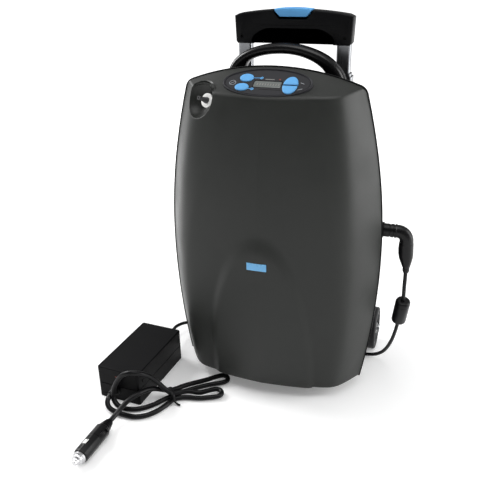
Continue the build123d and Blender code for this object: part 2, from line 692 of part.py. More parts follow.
def make_wheel(side):
    """Hub with its bore and the tyre round it."""
    x0 = side * WHEEL_INNER_X
    x1 = side * (WHEEL_INNER_X + WHEEL_WIDTH)
    centre = (AXLE_Y, WHEEL_RADIUS)
    tyre = ring((x0, *centre), (x1, *centre), WHEEL_RADIUS, 27.5)
    tyre = fillet(tyre.edges().filter_by(GeomType.CIRCLE).group_by(SortBy.RADIUS)[-1], 3)
    hub = ring((x0 + side * 1, *centre), (x1 - side * 1, *centre), 27.5, AXLE_RADIUS + AXLE_CLEARANCE)
    dish = ring((x1 - side * 4, *centre), (x1, *centre), 24, 9)
    return hub - dish, tyre


def make_axles():
    stubs = []
    for side in (-1, 1):
        stub = rod((side * 118.5, AXLE_Y, WHEEL_RADIUS), (side * 149, AXLE_Y, WHEEL_RADIUS), AXLE_RADIUS)
        cap = rod((side * 149, AXLE_Y, WHEEL_RADIUS), (side * 151.5, AXLE_Y, WHEEL_RADIUS), 7)
        stubs.append(stub + cap)
    return group(stubs)


def make_feet():
    feet = []
    for side in (-1, 1):
        feet.append(rod((side * FOOT_X, FOOT_Y, 0), (side * FOOT_X, FOOT_Y, TOE_Z[0]), 11))
    return group(feet)


# ---------------------------------------------------------------- power plug, leads and adapter
PLUG_BOOT_X = 190.0
LEAD_START_Z = 196.0
FERRITE_TOP = Vector(190.5, 19.0, 147.0)
FERRITE_BOTTOM = Vector(185.5, 32.0, 106.0)


def adapter_place(across, along, height):
    """A point in the adapter's own frame: across its width, along its length, height."""
    turn = math.radians(ADAPTER_YAW)
    x = ADAPTER_CORNER[0] + across * math.cos(turn) - along * math.sin(turn)
    y = ADAPTER_CORNER[1] + across * math.sin(turn) + along * math.cos(turn)
    return Vector(x, y, height)


# The output lead hangs from the plug, lies on the floor, crosses under the case in front of the
# wheels, comes out on the other side and rises to the strain relief at the back of the adapter.
RELIEF_END = adapter_place(38.0, ADAPTER_LENGTH + 25.9, 26.5)
OUTPUT_ROUTE = [
    (PLUG_BOOT_X, INLET_Y, LEAD_START_Z), (PLUG_BOOT_X, INLET_Y, 170), (190.5, 19, 147), (188.4, 25, 126),
    (185.5, 32, 106), (181.5, 43, 76), (174, 58, 44), (163, 72, 18), (145, 82, 3.2), (116, 83, 3),
    (82, 78, 3), (45, 81, 3), (5, 77, 3), (-35, 80, 3), (-75, 76, 3), (-100, 80, 3), (-126, 87, 3),
    (-144, 90, 3.6), (-160, 86, 8), (-172.5, 75, 14.5), (-179.5, 60, 20.5), (-183.5, 44, 24.3),
    (-184.5, 32, 26), tuple(RELIEF_END)]


def make_plug():
    """Right-angle plug: contact barrel, ribbed collar, elbow and tapered boot."""
    start = 155.0
    barrel = rod((137, INLET_Y, INLET_Z), (start, INLET_Y, INLET_Z), 5.0)
    barrel = barrel - rod((136, INLET_Y, INLET_Z), (149, INLET_Y, INLET_Z), 1.6)
    collar = rod((start, INLET_Y, INLET_Z), (178, INLET_Y, INLET_Z), 8.5)
    for index in range(4):
        x = start + 3 + 5 * index
        collar = collar + rod((x, INLET_Y, INLET_Z), (x + 2.4, INLET_Y, INLET_Z), 9.3)
    elbow_path = FilletPolyline((174, INLET_Y, INLET_Z), (PLUG_BOOT_X, INLET_Y, INLET_Z),
                                (PLUG_BOOT_X, INLET_Y, 238), radius=10)
    elbow = sweep(Plane(origin=elbow_path @ 0, z_dir=elbow_path % 0) * Circle(9), path=elbow_path)
    top = Plane(origin=(PLUG_BOOT_X, INLET_Y, 238.5), z_dir=(0, 0, -1))
    boot = loft([top * Circle(9.6), top.offset(20) * Circle(8.8), top.offset(42.5) * Circle(4.6)])
    return barrel + collar + elbow + boot


def make_ferrite():
    core = rod(tuple(FERRITE_TOP), tuple(FERRITE_BOTTOM), 10.4)
    return fillet(core.edges(), 2.5)


def make_adapter():
    """Adapter case with its two strain reliefs."""
    body = block(0, ADAPTER_WIDTH, 0, ADAPTER_LENGTH, 0, ADAPTER_HEIGHT)
    body = fillet(body.edges().filter_by(Axis.Z), 3)
    body = fillet(body.faces().sort_by(Axis.Z)[-1].edges(), 1.5)
    groove = block(-2, ADAPTER_WIDTH + 2, -2, ADAPTER_LENGTH + 2, 24.4, 25.6)
    groove = groove - block(0.8, ADAPTER_WIDTH - 0.8, 0.8, ADAPTER_LENGTH - 0.8, 20, 30)
    body = body - groove
    rear = Plane(origin=(38, ADAPTER_LENGTH - 0.1, 26.5), z_dir=(0, 1, 0))
    body = body + loft([rear * Circle(7), rear.offset(8) * Circle(5), rear.offset(26) * Circle(4)])
    front = Plane(origin=(28, 0.1, 17.0), z_dir=(0, -1, 0))
    body = body + loft([front * Circle(7), front.offset(6) * Circle(5.5), front.offset(14) * Circle(4.4)])
    return Pos(*ADAPTER_CORNER, 0) * Rot(0, 0, ADAPTER_YAW) * body


def make_hank():
    """Outer shape of the tied input lead: a loop that leans on the adapter and two flat folds."""
    lean = Polyline((-178, 0.2), (-146.4, 0.2), (-146.4, 66), (-154, 66), (-178, 12), close=True)
    loop = Pos(-204, 0, 0) * extrude(make_face(Plane.YZ * lean), 44, dir=(1, 0, 0))
    fall = Plane(origin=(-161, -150, 0.2), x_dir=(35, 34, 0), z_dir=(34, -35, 0))
    slope = Polyline((0, 0), (50, 0), (50, 16), (28, 38), (12, 64), (0, 66), close=True)
    loop = loop + extrude(make_face(fall * slope), 6, both=True)
    neck = Polyline((-160, -178), (-138, -172), (-118, -138), (-112, -110), (-118, -98), (-134, -107),
                    (-160, -150), close=True)
    middle = extrude(Pos(0, 0, 0.2) * make_face(neck), 15)
    folds = loft_slab([(-126, -112), (-104, -84.5), (-66, -53)], 10.0, 12.0)
    folds = folds + loft_slab([(-122, -116), (-100, -104.5), (-63, -88.5)], 10.0, 12.0)
    strand = loft_slab([(-140, -118), (-155, -137), (-163, -152), (-171, -165)], 5.0, 31.0)
    tail = loft_slab([(-171, -165), (-177, -178), (-180.5, -193.5)], 5.0, 20.0)
    head = loft_slab([(-205, -158), (-203, -167), (-190, -172)], 5.0, 21.0)
    return loop + middle + folds + strand + tail + head


def loft_slab(points, half_width_of_slab, height):
    """A slab with round ends along a line of floor points."""
    slab = None
    for a, b in zip(points, points[1:]):
        run = Vector(b[0] - a[0], b[1] - a[1], 0)
        angle = math.degrees(math.atan2(run.Y, run.X))
        bar = extrude(Circle(half_width_of_slab), height)
        piece = Pos(a[0], a[1], 0.2) * bar + Pos(b[0], b[1], 0.2) * bar
        middle = Pos((a[0] + b[0]) / 2, (a[1] + b[1]) / 2, 0.2 + height / 2)
        piece = piece + middle * Rot(0, 0, angle) * Box(run.length, 2 * half_width_of_slab, height)
        slab = piece if slab is None else slab + piece
    return slab


TIE_PLACE = (-123.5, -116.0)
PLUG_TAIL = Vector(-180.8, -199.5, 11.0)
PLUG_TIP = Vector(-184.0, -287.0, 11.0)


def make_lighter_plug():
    """Vehicle socket plug: strain relief, grip body with a rocker, and a metal nose."""
    run = PLUG_TIP - PLUG_TAIL
    along = run.normalized()
    start = Plane(origin=PLUG_TAIL, z_dir=along)
    relief = loft([start * Circle(4.6), start.offset(16) * Circle(6.4)])
    body = rod(tuple(PLUG_TAIL + along * 15.9), tuple(PLUG_TAIL + along * 74), 10.7)
    body = fillet(body.edges(), 2)
    rocker = Pos(*(PLUG_TAIL + along * 34)) * Rot(0, 0, 92.1) * Pos(0, 0, 10) * Box(24, 8, 5)
    nose = loft([start.offset(74) * Circle(8.4), start.offset(78) * Circle(8.4),
                 start.offset(84) * Circle(4.2), start.offset(run.length) * Circle(3.2)])
    return relief + body + rocker, nose


# ---------------------------------------------------------------- assembly
def build_case():
    parts["front_shell"] = make_front_shell()
    parts["control_panel"] = make_panel()
    parts.update(make_buttons())
    parts["display_window"] = make_display()
    parts["outlet_collar"], parts["outlet_nozzle"] = make_outlet()
    parts["breath_lens"] = make_lens()
    parts["rear_shell"] = make_rear_shell()
    parts["parting_rim"] = make_parting_rim()
    parts["filter_cover"] = make_louvre_panel(*FILTER_Z, 4.0)
    parts["intake_filter"] = block(-43, 43, REAR_DEPTH - 16, REAR_DEPTH - 4.4, FILTER_Z[0] + 3,
                                   FILTER_Z[1] - 3)
    parts["exhaust_grille"] = make_louvre_panel(*EXHAUST_Z, 4.0)
    parts["power_inlet"] = make_inlet()
    parts["carry_handle"] = make_carry_handle()
    parts["case_screws"] = make_case_screws()


def build_works():
    parts["chassis"] = make_chassis()
    crankcase, motor, shaft, heads = make_compressor()
    parts["crankcase"] = crankcase
    parts["compressor_motor"] = motor
    parts["crankshaft"] = shaft
    parts["cylinder_heads"] = heads
    parts["isolation_mounts"] = make_isolation_mounts()
    columns, manifolds, rotor, valve_motor = make_sieve_module()
    parts["sieve_columns"] = columns
    parts["sieve_manifolds"] = manifolds
    parts["valve_rotor"] = rotor
    parts["valve_motor"] = valve_motor
    parts["product_tank"] = make_product_tank()
    parts["cooling_coil"] = make_cooling_coil()
    parts["fan_frame"], parts["fan_rotor"] = make_fan()
    board, valve, connector = make_electronics()
    parts["main_board"] = board
    parts["dispensing_valve"] = valve
    parts["battery_connector"] = connector
    parts["oxygen_tube"] = make_oxygen_tube()


def build_battery():
    case, cells = make_battery()
    parts["battery_case"] = case
    parts["battery_cells"] = cells
    parts["battery_face"] = make_battery_face()
    parts["battery_latch"] = make_latch()


def build_cart():
    parts["cart_frame"] = make_cart_frame()
    for name in STAGES:
        parts[name + "_tubes"] = make_stage(name)
    parts["pull_grip"] = make_grip()
    parts["grip_button"] = make_grip_button()
    for side, word in ((-1, "left"), (1, "right")):
        hub, tyre = make_wheel(side)
        parts["wheel_hub_" + word] = hub
        parts["wheel_tyre_" + word] = tyre
    parts["wheel_axles"] = make_axles()
    parts["cart_feet"] = make_feet()


CORD_NODES = ["power_plug", "output_lead", "ferrite", "adapter", "input_lead_hank", "cable_tie",
              "lighter_plug", "lighter_nose"]


def build_power_leads():
    parts["power_plug"] = make_plug()
    parts["output_lead"] = cord_tube("output_lead", OUTPUT_ROUTE, LEAD_DIAMETER)
    parts["ferrite"] = make_ferrite() - parts["output_lead"]
    parts["adapter"] = make_adapter()
    tie = Pos(TIE_PLACE[0], TIE_PLACE[1], 0.2) * Rot(0, 0, 39) * (Pos(0, 0, 9.5) * Box(6, 32, 19))
    hank = make_hank() - parts["adapter"]
    parts["cable_tie"] = tie - hank
    parts["input_lead_hank"] = hank
    parts["lighter_plug"], parts["lighter_nose"] = make_lighter_plug()


def main():
    build_case()
    build_works()
    build_battery()
    build_cart()
    build_power_leads()
    os.makedirs("parts", exist_ok=True)
    own = Compound([shape for name, shape in parts.items() if name not in CORD_NODES])
    size = own.bounding_box()
    print("own box", size.min, size.max)
    for name, shape in parts.items():
        export_step(Pos(0, -ORIGIN_SHIFT, 0) * shape, os.path.join("parts", name + ".step"))
    print(len(parts), "nodes")


main()
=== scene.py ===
"""Looks of a portable oxygen concentrator on its pull-along cart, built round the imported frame."""
import json
import math

import bmesh
import bpy
from mathutils import Matrix, Vector


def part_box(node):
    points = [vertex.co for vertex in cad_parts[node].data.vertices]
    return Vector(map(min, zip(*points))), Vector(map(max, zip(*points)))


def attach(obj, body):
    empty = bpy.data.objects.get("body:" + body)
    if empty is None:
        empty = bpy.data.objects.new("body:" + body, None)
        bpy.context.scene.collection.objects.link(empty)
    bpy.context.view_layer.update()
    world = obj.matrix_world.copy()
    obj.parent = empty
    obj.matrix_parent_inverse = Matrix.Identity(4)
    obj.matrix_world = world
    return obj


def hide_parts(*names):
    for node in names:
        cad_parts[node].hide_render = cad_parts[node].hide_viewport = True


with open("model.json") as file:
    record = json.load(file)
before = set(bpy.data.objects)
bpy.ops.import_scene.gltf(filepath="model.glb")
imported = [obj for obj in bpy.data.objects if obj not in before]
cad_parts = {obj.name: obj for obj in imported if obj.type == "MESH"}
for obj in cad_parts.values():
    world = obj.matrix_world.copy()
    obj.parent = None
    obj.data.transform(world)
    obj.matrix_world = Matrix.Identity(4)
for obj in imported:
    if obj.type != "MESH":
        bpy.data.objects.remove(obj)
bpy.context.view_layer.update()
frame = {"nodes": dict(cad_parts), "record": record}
NODES = frame["nodes"]

# Layout: millimetres from the parting plane of the case (y = 0), its middle (x = 0) and the floor.
MM = 0.001
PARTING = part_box("front_shell")[1].y / MM


def at(x, y, z):
    """A layout point in the row frame, in metres."""
    return Vector((x, y + PARTING, z)) * MM


# ---------------------------------------------------------------- camera, floor and light
CAMERA_PLACE = (0.2335, -0.8455, 0.6038)
CAMERA_HEADING = math.radians(18.36)        # to the left of straight ahead
CAMERA_PITCH = math.radians(24.935)         # downwards
CAMERA_ROLL = math.radians(-0.854)
FOCAL_LENGTH = 45.76                        # mm, on a sensor 36 mm wide
FLOOR_GLOW = (0.20, 0.95)                   # near the object and far from it
GLOW_FROM, GLOW_TO = 0.35, 1.5              # metres from the middle
WORLD_STRENGTH = 0.40


def make_camera():
    data = bpy.data.cameras.new("camera")
    data.sensor_width = 36.0
    data.lens = FOCAL_LENGTH
    data.clip_end = 100.0
    camera = bpy.data.objects.new("camera", data)
    bpy.context.scene.collection.objects.link(camera)
    turn = Matrix.Rotation(CAMERA_HEADING, 4, "Z") @ Matrix.Rotation(math.pi / 2 - CAMERA_PITCH, 4, "X")
    turn = turn @ Matrix.Rotation(CAMERA_ROLL, 4, "Z")
    camera.matrix_world = Matrix.Translation(CAMERA_PLACE) @ turn
    bpy.context.scene.camera = camera


def make_floor():
    """A wide pale floor that brightens away from the object, so that it meets the background unseen."""
    mesh = bpy.data.meshes.new("floor")
    reach = 30.0
    mesh.from_pydata([(-reach, -reach, 0), (reach, -reach, 0), (reach, reach, 0), (-reach, reach, 0)],
                     [], [(0, 1, 2, 3)])
    floor = bpy.data.objects.new("floor", mesh)
    bpy.context.scene.collection.objects.link(floor)
    mat = bpy.data.materials.new("pale_floor")
    mat.use_nodes = True
    tree = mat.node_tree
    shader = tree.nodes["Principled BSDF"]
    shader.inputs["Base Color"].default_value = (0.92, 0.92, 0.92, 1)
    shader.inputs["Roughness"].default_value = 0.6
    shader.inputs["Specular IOR Level"].default_value = 0.3
    shader.inputs["Emission Color"].default_value = (1, 1, 1, 1)
    coord = tree.nodes.new("ShaderNodeTexCoord")
    far = tree.nodes.new("ShaderNodeVectorMath")
    far.operation = "LENGTH"
    glow = tree.nodes.new("ShaderNodeMapRange")
    glow.inputs["From Min"].default_value = GLOW_FROM
    glow.inputs["From Max"].default_value = GLOW_TO
    glow.inputs["To Min"].default_value = FLOOR_GLOW[0]
    glow.inputs["To Max"].default_value = FLOOR_GLOW[1]
    tree.links.new(coord.outputs["Object"], far.inputs[0])
    tree.links.new(far.outputs["Value"], glow.inputs["Value"])
    tree.links.new(glow.outputs["Result"], shader.inputs["Emission Strength"])
    mesh.materials.append(mat)


def softbox(name, place, target, width, height, power):
    light = bpy.data.lights.new(name, "AREA")
    light.shape = "RECTANGLE"
    light.size = width
    light.size_y = height
    light.energy = power
    lamp = bpy.data.objects.new(name, light)
    bpy.context.scene.collection.objects.link(lamp)
    lamp.location = place
    lamp.rotation_mode = "QUATERNION"
    lamp.rotation_quaternion = (Vector(target) - Vector(place)).to_track_quat("-Z", "Y")


def make_world():
    """Pale surroundings, dimmer on the side that the unit faces."""
    world = bpy.data.worlds.new("studio")
    world.use_nodes = True
    tree = world.node_tree
    back = tree.nodes["Background"]
    coord = tree.nodes.new("ShaderNodeTexCoord")
    split = tree.nodes.new("ShaderNodeSeparateXYZ")
    ramp = tree.nodes.new("ShaderNodeValToRGB")
    scale = tree.nodes.new("ShaderNodeMapRange")
    scale.inputs["From Min"].default_value = -1.0
    ramp.color_ramp.elements[0].position = 0.12
    ramp.color_ramp.elements[0].color = (0.22, 0.22, 0.225, 1)
    ramp.color_ramp.elements[1].position = 0.60
    ramp.color_ramp.elements[1].color = (1.0, 1.0, 1.0, 1)
    tree.links.new(coord.outputs["Generated"], split.inputs[0])
    tree.links.new(split.outputs["Y"], scale.inputs["Value"])
    tree.links.new(scale.outputs["Result"], ramp.inputs["Fac"])
    tree.links.new(ramp.outputs["Color"], back.inputs["Color"])
    back.inputs["Strength"].default_value = WORLD_STRENGTH
    bpy.context.scene.world = world


make_camera()
make_floor()
make_world()
softbox("right_box", (1.8, 0.3, 0.8), (0.0, 0.0, 0.25), 0.9, 1.6, 30)
softbox("left_box", (-1.8, 0.4, 1.4), (0.0, 0.0, 0.15), 1.0, 1.2, 42)
softbox("top_box", (0.2, -0.3, 2.3), (0.0, 0.0, 0.1), 1.4, 1.4, 22)
bpy.context.scene.view_settings.view_transform = "Standard"


# ---------------------------------------------------------------- materials
def grained(name, color, roughness, metallic=0.0, grain=0.25, grain_mm=0.45, mottle=0.10, specular=0.5):
    """A moulded or painted surface: fine bumps, slightly uneven colour and gloss."""
    mat = bpy.data.materials.new(name)
    mat.use_nodes = True
    tree = mat.node_tree
    shader = tree.nodes["Principled BSDF"]
    shader.inputs["Metallic"].default_value = metallic
    shader.inputs["Specular IOR Level"].default_value = specular
    coord = tree.nodes.new("ShaderNodeTexCoord")
    broad = tree.nodes.new("ShaderNodeTexNoise")
    broad.inputs["Scale"].default_value = 22.0
    broad.inputs["Detail"].default_value = 5.0
    fine = tree.nodes.new("ShaderNodeTexNoise")
    fine.inputs["Scale"].default_value = 1.0 / (grain_mm * MM)
    fine.inputs["Detail"].default_value = 3.0
    tone = tree.nodes.new("ShaderNodeValToRGB")
    darker = [c * (1 - mottle) for c in color]
    lighter = [c * (1 + mottle) for c in color]
    tone.color_ramp.elements[0].position = 0.3
    tone.color_ramp.elements[0].color = (*darker, 1)
    tone.color_ramp.elements[1].position = 0.7
    tone.color_ramp.elements[1].color = (*lighter, 1)
    mixed = tree.nodes.new("ShaderNodeMath")
    mixed.operation = "MULTIPLY_ADD"
    mixed.inputs[1].default_value = 0.35
    gloss = tree.nodes.new("ShaderNodeMapRange")
    gloss.inputs["From Min"].default_value = 0.3
    gloss.inputs["From Max"].default_value = 0.7
    gloss.inputs["To Min"].default_value = max(0.04, roughness - 0.05)
    gloss.inputs["To Max"].default_value = min(1.0, roughness + 0.05)
    bump = tree.nodes.new("ShaderNodeBump")
    bump.inputs["Strength"].default_value = grain
    bump.inputs["Distance"].default_value = grain_mm * MM * 0.35
    links = tree.links
    links.new(coord.outputs["Object"], broad.inputs["Vector"])
    links.new(coord.outputs["Object"], fine.inputs["Vector"])
    links.new(fine.outputs["Fac"], mixed.inputs[0])
    links.new(broad.outputs["Fac"], mixed.inputs[2])
    mixed.use_clamp = True
    links.new(mixed.outputs[0], tone.inputs["Fac"])
    links.new(tone.outputs["Color"], shader.inputs["Base Color"])
    links.new(broad.outputs["Fac"], gloss.inputs["Value"])
    links.new(gloss.outputs["Result"], shader.inputs["Roughness"])
    links.new(fine.outputs["Fac"], bump.inputs["Height"])
    links.new(bump.outputs["Normal"], shader.inputs["Normal"])
    return mat


def brushed(name, color, roughness, stretch=(60.0, 60.0, 1.0)):
    """Drawn metal: long fine streaks along one axis."""
    mat = grained(name, color, roughness, metallic=1.0, grain=0.05, mottle=0.06)
    tree = mat.node_tree
    coord = tree.nodes.new("ShaderNodeTexCoord")
    squeeze = tree.nodes.new("ShaderNodeMapping")
    squeeze.inputs["Scale"].default_value = [30.0 * s for s in stretch]
    streak = tree.nodes.new("ShaderNodeTexNoise")
    streak.inputs["Scale"].default_value = 1.0
    streak.inputs["Detail"].default_value = 4.0
    gloss = tree.nodes.new("ShaderNodeMapRange")
    gloss.inputs["To Min"].default_value = roughness - 0.08
    gloss.inputs["To Max"].default_value = roughness + 0.12
    tree.links.new(coord.outputs["Object"], squeeze.inputs["Vector"])
    tree.links.new(squeeze.outputs["Vector"], streak.inputs["Vector"])
    tree.links.new(streak.outputs["Fac"], gloss.inputs["Value"])
    tree.links.new(gloss.outputs["Result"], tree.nodes["Principled BSDF"].inputs["Roughness"])
    return mat


MATERIALS = {
    "case_grey": grained("case_grey", (0.019, 0.0204, 0.0187), 0.43, grain=0.35, grain_mm=0.5,
                         specular=0.26),
    "case_black": grained("case_black", (0.0045, 0.0045, 0.005), 0.42, grain=0.35, grain_mm=0.5,
                          specular=0.08),
    "gloss_black": grained("gloss_black", (0.003, 0.003, 0.0034), 0.27, grain=0.12, grain_mm=0.7,
                           specular=0.3),
    "panel_charcoal": grained("panel_charcoal", (0.024, 0.024, 0.027), 0.55, grain=0.2, grain_mm=0.3,
                              specular=0.15),
    "button_blue": grained("button_blue", (0.10, 0.34, 0.66), 0.5, grain=0.3, grain_mm=0.4, specular=0.3),
    "screen": grained("screen", (0.115, 0.125, 0.12), 0.16, grain=0.03, mottle=0.18),
    "outlet_white": grained("outlet_white", (0.86, 0.86, 0.84), 0.35, grain=0.1),
    "outlet_grey": grained("outlet_grey", (0.06, 0.06, 0.062), 0.33, grain=0.1),
    "lens_blue": grained("lens_blue", (0.13, 0.40, 0.70), 0.3, grain=0.4, grain_mm=1.2, mottle=0.2),
    "tube_metal": brushed("tube_metal", (0.25, 0.256, 0.268), 0.28),
    "wheel_grey": grained("wheel_grey", (0.10, 0.103, 0.105), 0.28, grain=0.15),
    "tyre_rubber": grained("tyre_rubber", (0.010, 0.010, 0.011), 0.6, grain=0.5, grain_mm=0.8, specular=0.4),
    "steel": brushed("steel", (0.60, 0.60, 0.61), 0.28),
    "rubber": grained("rubber", (0.014, 0.014, 0.015), 0.7, grain=0.5, grain_mm=0.8, specular=0.4),
    "casting": grained("casting", (0.42, 0.42, 0.43), 0.5, metallic=0.9, grain=0.6, grain_mm=1.1),
    "copper_pipe": grained("copper_pipe", (0.72, 0.36, 0.22), 0.32, metallic=1.0, grain=0.15),
    "board_green": grained("board_green", (0.02, 0.13, 0.05), 0.4, grain=0.3, grain_mm=1.5, mottle=0.3),
    "foam": grained("foam", (0.05, 0.05, 0.052), 0.95, grain=1.0, grain_mm=1.6, mottle=0.3),
    "white_plastic": grained("white_plastic", (0.72, 0.72, 0.70), 0.42),
    "lead_black": grained("lead_black", (0.0045, 0.0045, 0.005), 0.34, grain=0.2, grain_mm=0.6, specular=0.2),
    "battery_black": grained("battery_black", (0.007, 0.007, 0.0075), 0.42, grain=0.3, specular=0.2),
    "cell_sleeve": grained("cell_sleeve", (0.06, 0.16, 0.30), 0.3),
}
PANEL_INK = grained("panel_ink", (0.30, 0.32, 0.34), 0.5, grain=0.1)
# Near-black: the display frame and a printed line on the panel, and painted shade on the lighter plug's body.
NEAR_BLACK_AND_SHADE = grained("near_black_and_shade", (0.003, 0.003, 0.003), 0.6, grain=0.1, specular=0.2)
MARK_GREY = grained("mark_grey", (0.16, 0.16, 0.15), 0.5, grain=0.1)
MARK_RED = grained("mark_red", (0.20, 0.035, 0.02), 0.5, grain=0.1)


# ---------------------------------------------------------------- mesh helpers
def add_mesh(name, points, faces, slot, body="unit", sharp=40.0):
    """A smooth-shaded piece from layout points, with creases above an angle."""
    mesh = bpy.data.meshes.new(name)
    mesh.from_pydata([at(*p) for p in points], [], faces)
    mesh.validate()
    piece = bpy.data.objects.new(name, mesh)
    bpy.context.scene.collection.objects.link(piece)
    mesh.materials.append(MATERIALS[slot])
    shade(mesh, sharp)
    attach(piece, body)
    return piece


def shade(mesh, sharp):
    mesh.polygons.foreach_set("use_smooth", [True] * len(mesh.polygons))
    mesh.set_sharp_from_angle(angle=math.radians(sharp))


def bake(piece, sharp):
    """Turns the piece's modifiers into mesh."""
    bpy.context.view_layer.update()
    depsgraph = bpy.context.evaluated_depsgraph_get()
    old = piece.data
    mesh = bpy.data.meshes.new_from_object(piece.evaluated_get(depsgraph))
    piece.modifiers.clear()
    piece.data = mesh
    mesh.name = piece.name
    bpy.data.meshes.remove(old)
    shade(mesh, sharp)


def carve(piece, *cutters, sharp=40.0):
    """Cuts pieces away from a piece; the cutters are used up."""
    for cutter in cutters:
        cut = piece.modifiers.new("cut", "BOOLEAN")
        cut.operation = "DIFFERENCE"
        cut.solver = "EXACT"
        cut.object = cutter
    bake(piece, sharp)
    for cutter in cutters:
        bpy.data.objects.remove(cutter)


def strip_faces(rows, columns, closed):
    """Quads between rows of points, as index lists."""
    faces = []
    span = columns if closed else columns - 1
    for row in range(rows - 1):
        for column in range(span):
            a = row * columns + column
            b = row * columns + (column + 1) % columns
            faces.append((a, b, b + columns, a + columns))
    return faces


def loft(name, rows, slot, body="unit", sharp=40.0):
    """A piece through closed rows of points, capped at its two ends."""
    columns = len(rows[0])
    points = [p for row in rows for p in row]
    faces = strip_faces(len(rows), columns, True)
    faces.append(tuple(reversed(range(columns))))
    faces.append(tuple(range(columns * (len(rows) - 1), columns * len(rows))))
    piece = add_mesh(name, points, faces, slot, body, sharp)
    face_outwards(piece.data)
    return piece


def face_outwards(mesh):
    """Turns the faces of a closed piece so that they all face outwards."""
    work = bmesh.new()
    work.from_mesh(mesh)
    bmesh.ops.recalc_face_normals(work, faces=work.faces)
    work.to_mesh(mesh)
    work.free()


def across(direction):
    """Two unit vectors square to a direction and to each other."""
    along = Vector(direction).normalized()
    helper = Vector((0, 0, 1)) if abs(along.z) < 0.9 else Vector((0, 1, 0))
    first = along.cross(helper).normalized()
    return first, first.cross(along)


def lathe(name, base, direction, profile, slot, body="unit", segments=64, sharp=35.0):
    """A turned piece: profile is a list of (distance along, radius)."""
    along = Vector(direction).normalized()
    first, second = across(direction)
    rows = []
    for distance, radius in profile:
        row = []
        for index in range(segments):
            angle = 2 * math.pi * index / segments
            out = first * math.cos(angle) + second * math.sin(angle)
            row.append(Vector(base) + along * distance + out * radius)
        rows.append(row)
    return loft(name, rows, slot, body, sharp)


def prism(name, outline, plane, depth, slot, body="unit", sharp=40.0):
    """An outline of (u, v) points pushed through depth = (from, to) along a plane's normal."""
    origin, side, rise = (Vector(v) for v in plane)
    normal = side.cross(rise)
    rows = []
    for height in depth:
        rows.append([origin + side * u + rise * v + normal * height for u, v in outline])
    return loft(name, rows, slot, body, sharp)


def bspline(points, count, closed=False):
    """Evenly stepped points on a cubic B-spline that starts and ends at its first and last points."""
    controls = [Vector(p) for p in points]
    if closed:
        controls = controls + controls[:3]
    else:
        controls = [controls[0] * 2 - controls[1]] + controls + [controls[-1] * 2 - controls[-2]]
    spans = len(controls) - 3
    result = []
    for index in range(count):
        place = spans * index / (count if closed else count - 1)
        span = min(int(place), spans - 1)
        t = place - span
        a, b, c, d = controls[span:span + 4]
        result.append((a * (1 - t) ** 3 + b * (3 * t ** 3 - 6 * t ** 2 + 4)
                       + c * (-3 * t ** 3 + 3 * t ** 2 + 3 * t + 1) + d * t ** 3) / 6)
    return result


def smoothstep(low, high, value):
    t = min(1.0, max(0.0, (value - low) / (high - low)))
    return t * t * (3 - 2 * t)


# ---------------------------------------------------------------- cords
LEAD_DIAMETER = 5.5
INPUT_DIAMETER = 7.5

ADAPTER_CORNER = (-231.9, -138.1)
ADAPTER_YAW = math.radians(-4.05)
ADAPTER_WIDTH, ADAPTER_LENGTH = 69.0, 133.0
REAR_RELIEF = (38.0, 26.5)                  # across the adapter, and height
FRONT_RELIEF = (28.0, 17.0)


def adapter_place(across_it, along_it, height):
    """A point in the adapter's own frame: across its width, along its length, height."""
    x = ADAPTER_CORNER[0] + across_it * math.cos(ADAPTER_YAW) - along_it * math.sin(ADAPTER_YAW)
    y = ADAPTER_CORNER[1] + across_it * math.sin(ADAPTER_YAW) + along_it * math.cos(ADAPTER_YAW)
    return (x, y, height)


OUTPUT_ROUTE = [
    (190, 15, 196), (190, 15, 170), (190.5, 19, 147), (188.4, 25, 126), (185.5, 32, 106), (181.5, 43, 76),
    (174, 58, 44), (163, 72, 18), (145, 82, 3.2), (116, 83, 3), (82, 78, 3), (45, 81, 3), (5, 77, 3),
    (-35, 80, 3), (-75, 76, 3), (-100, 80, 3), (-126, 87, 3), (-144, 90, 3.6), (-160, 86, 8),
    (-172.5, 75, 14.5), (-179.5, 60, 20.5), (-183.5, 44, 24.3), (-184.5, 32, 26),
    adapter_place(REAR_RELIEF[0], 158.9, REAR_RELIEF[1])]

# One fold of the hank seen from above: out along its near side, round the tip, back along the other.
FOLD = [(-26, -4.6), (-12, -7.0), (-3.4, -8.2), (3.4, -8.2), (8.2, -3.4), (8.2, 3.4), (3.4, 8.2),
        (-3.4, 8.2), (-12, 7.0), (-26, 4.6)]


def fold_points(tip_centre, heading, near_height, far_height):
    turn = math.radians(heading)
    points = []
    for index, (ahead, aside) in enumerate(FOLD):
        x = tip_centre[0] + ahead * math.cos(turn) - aside * math.sin(turn)
        y = tip_centre[1] + ahead * math.sin(turn) + aside * math.cos(turn)
        points.append((x, y, near_height + (far_height - near_height) * index / (len(FOLD) - 1)))
    return points


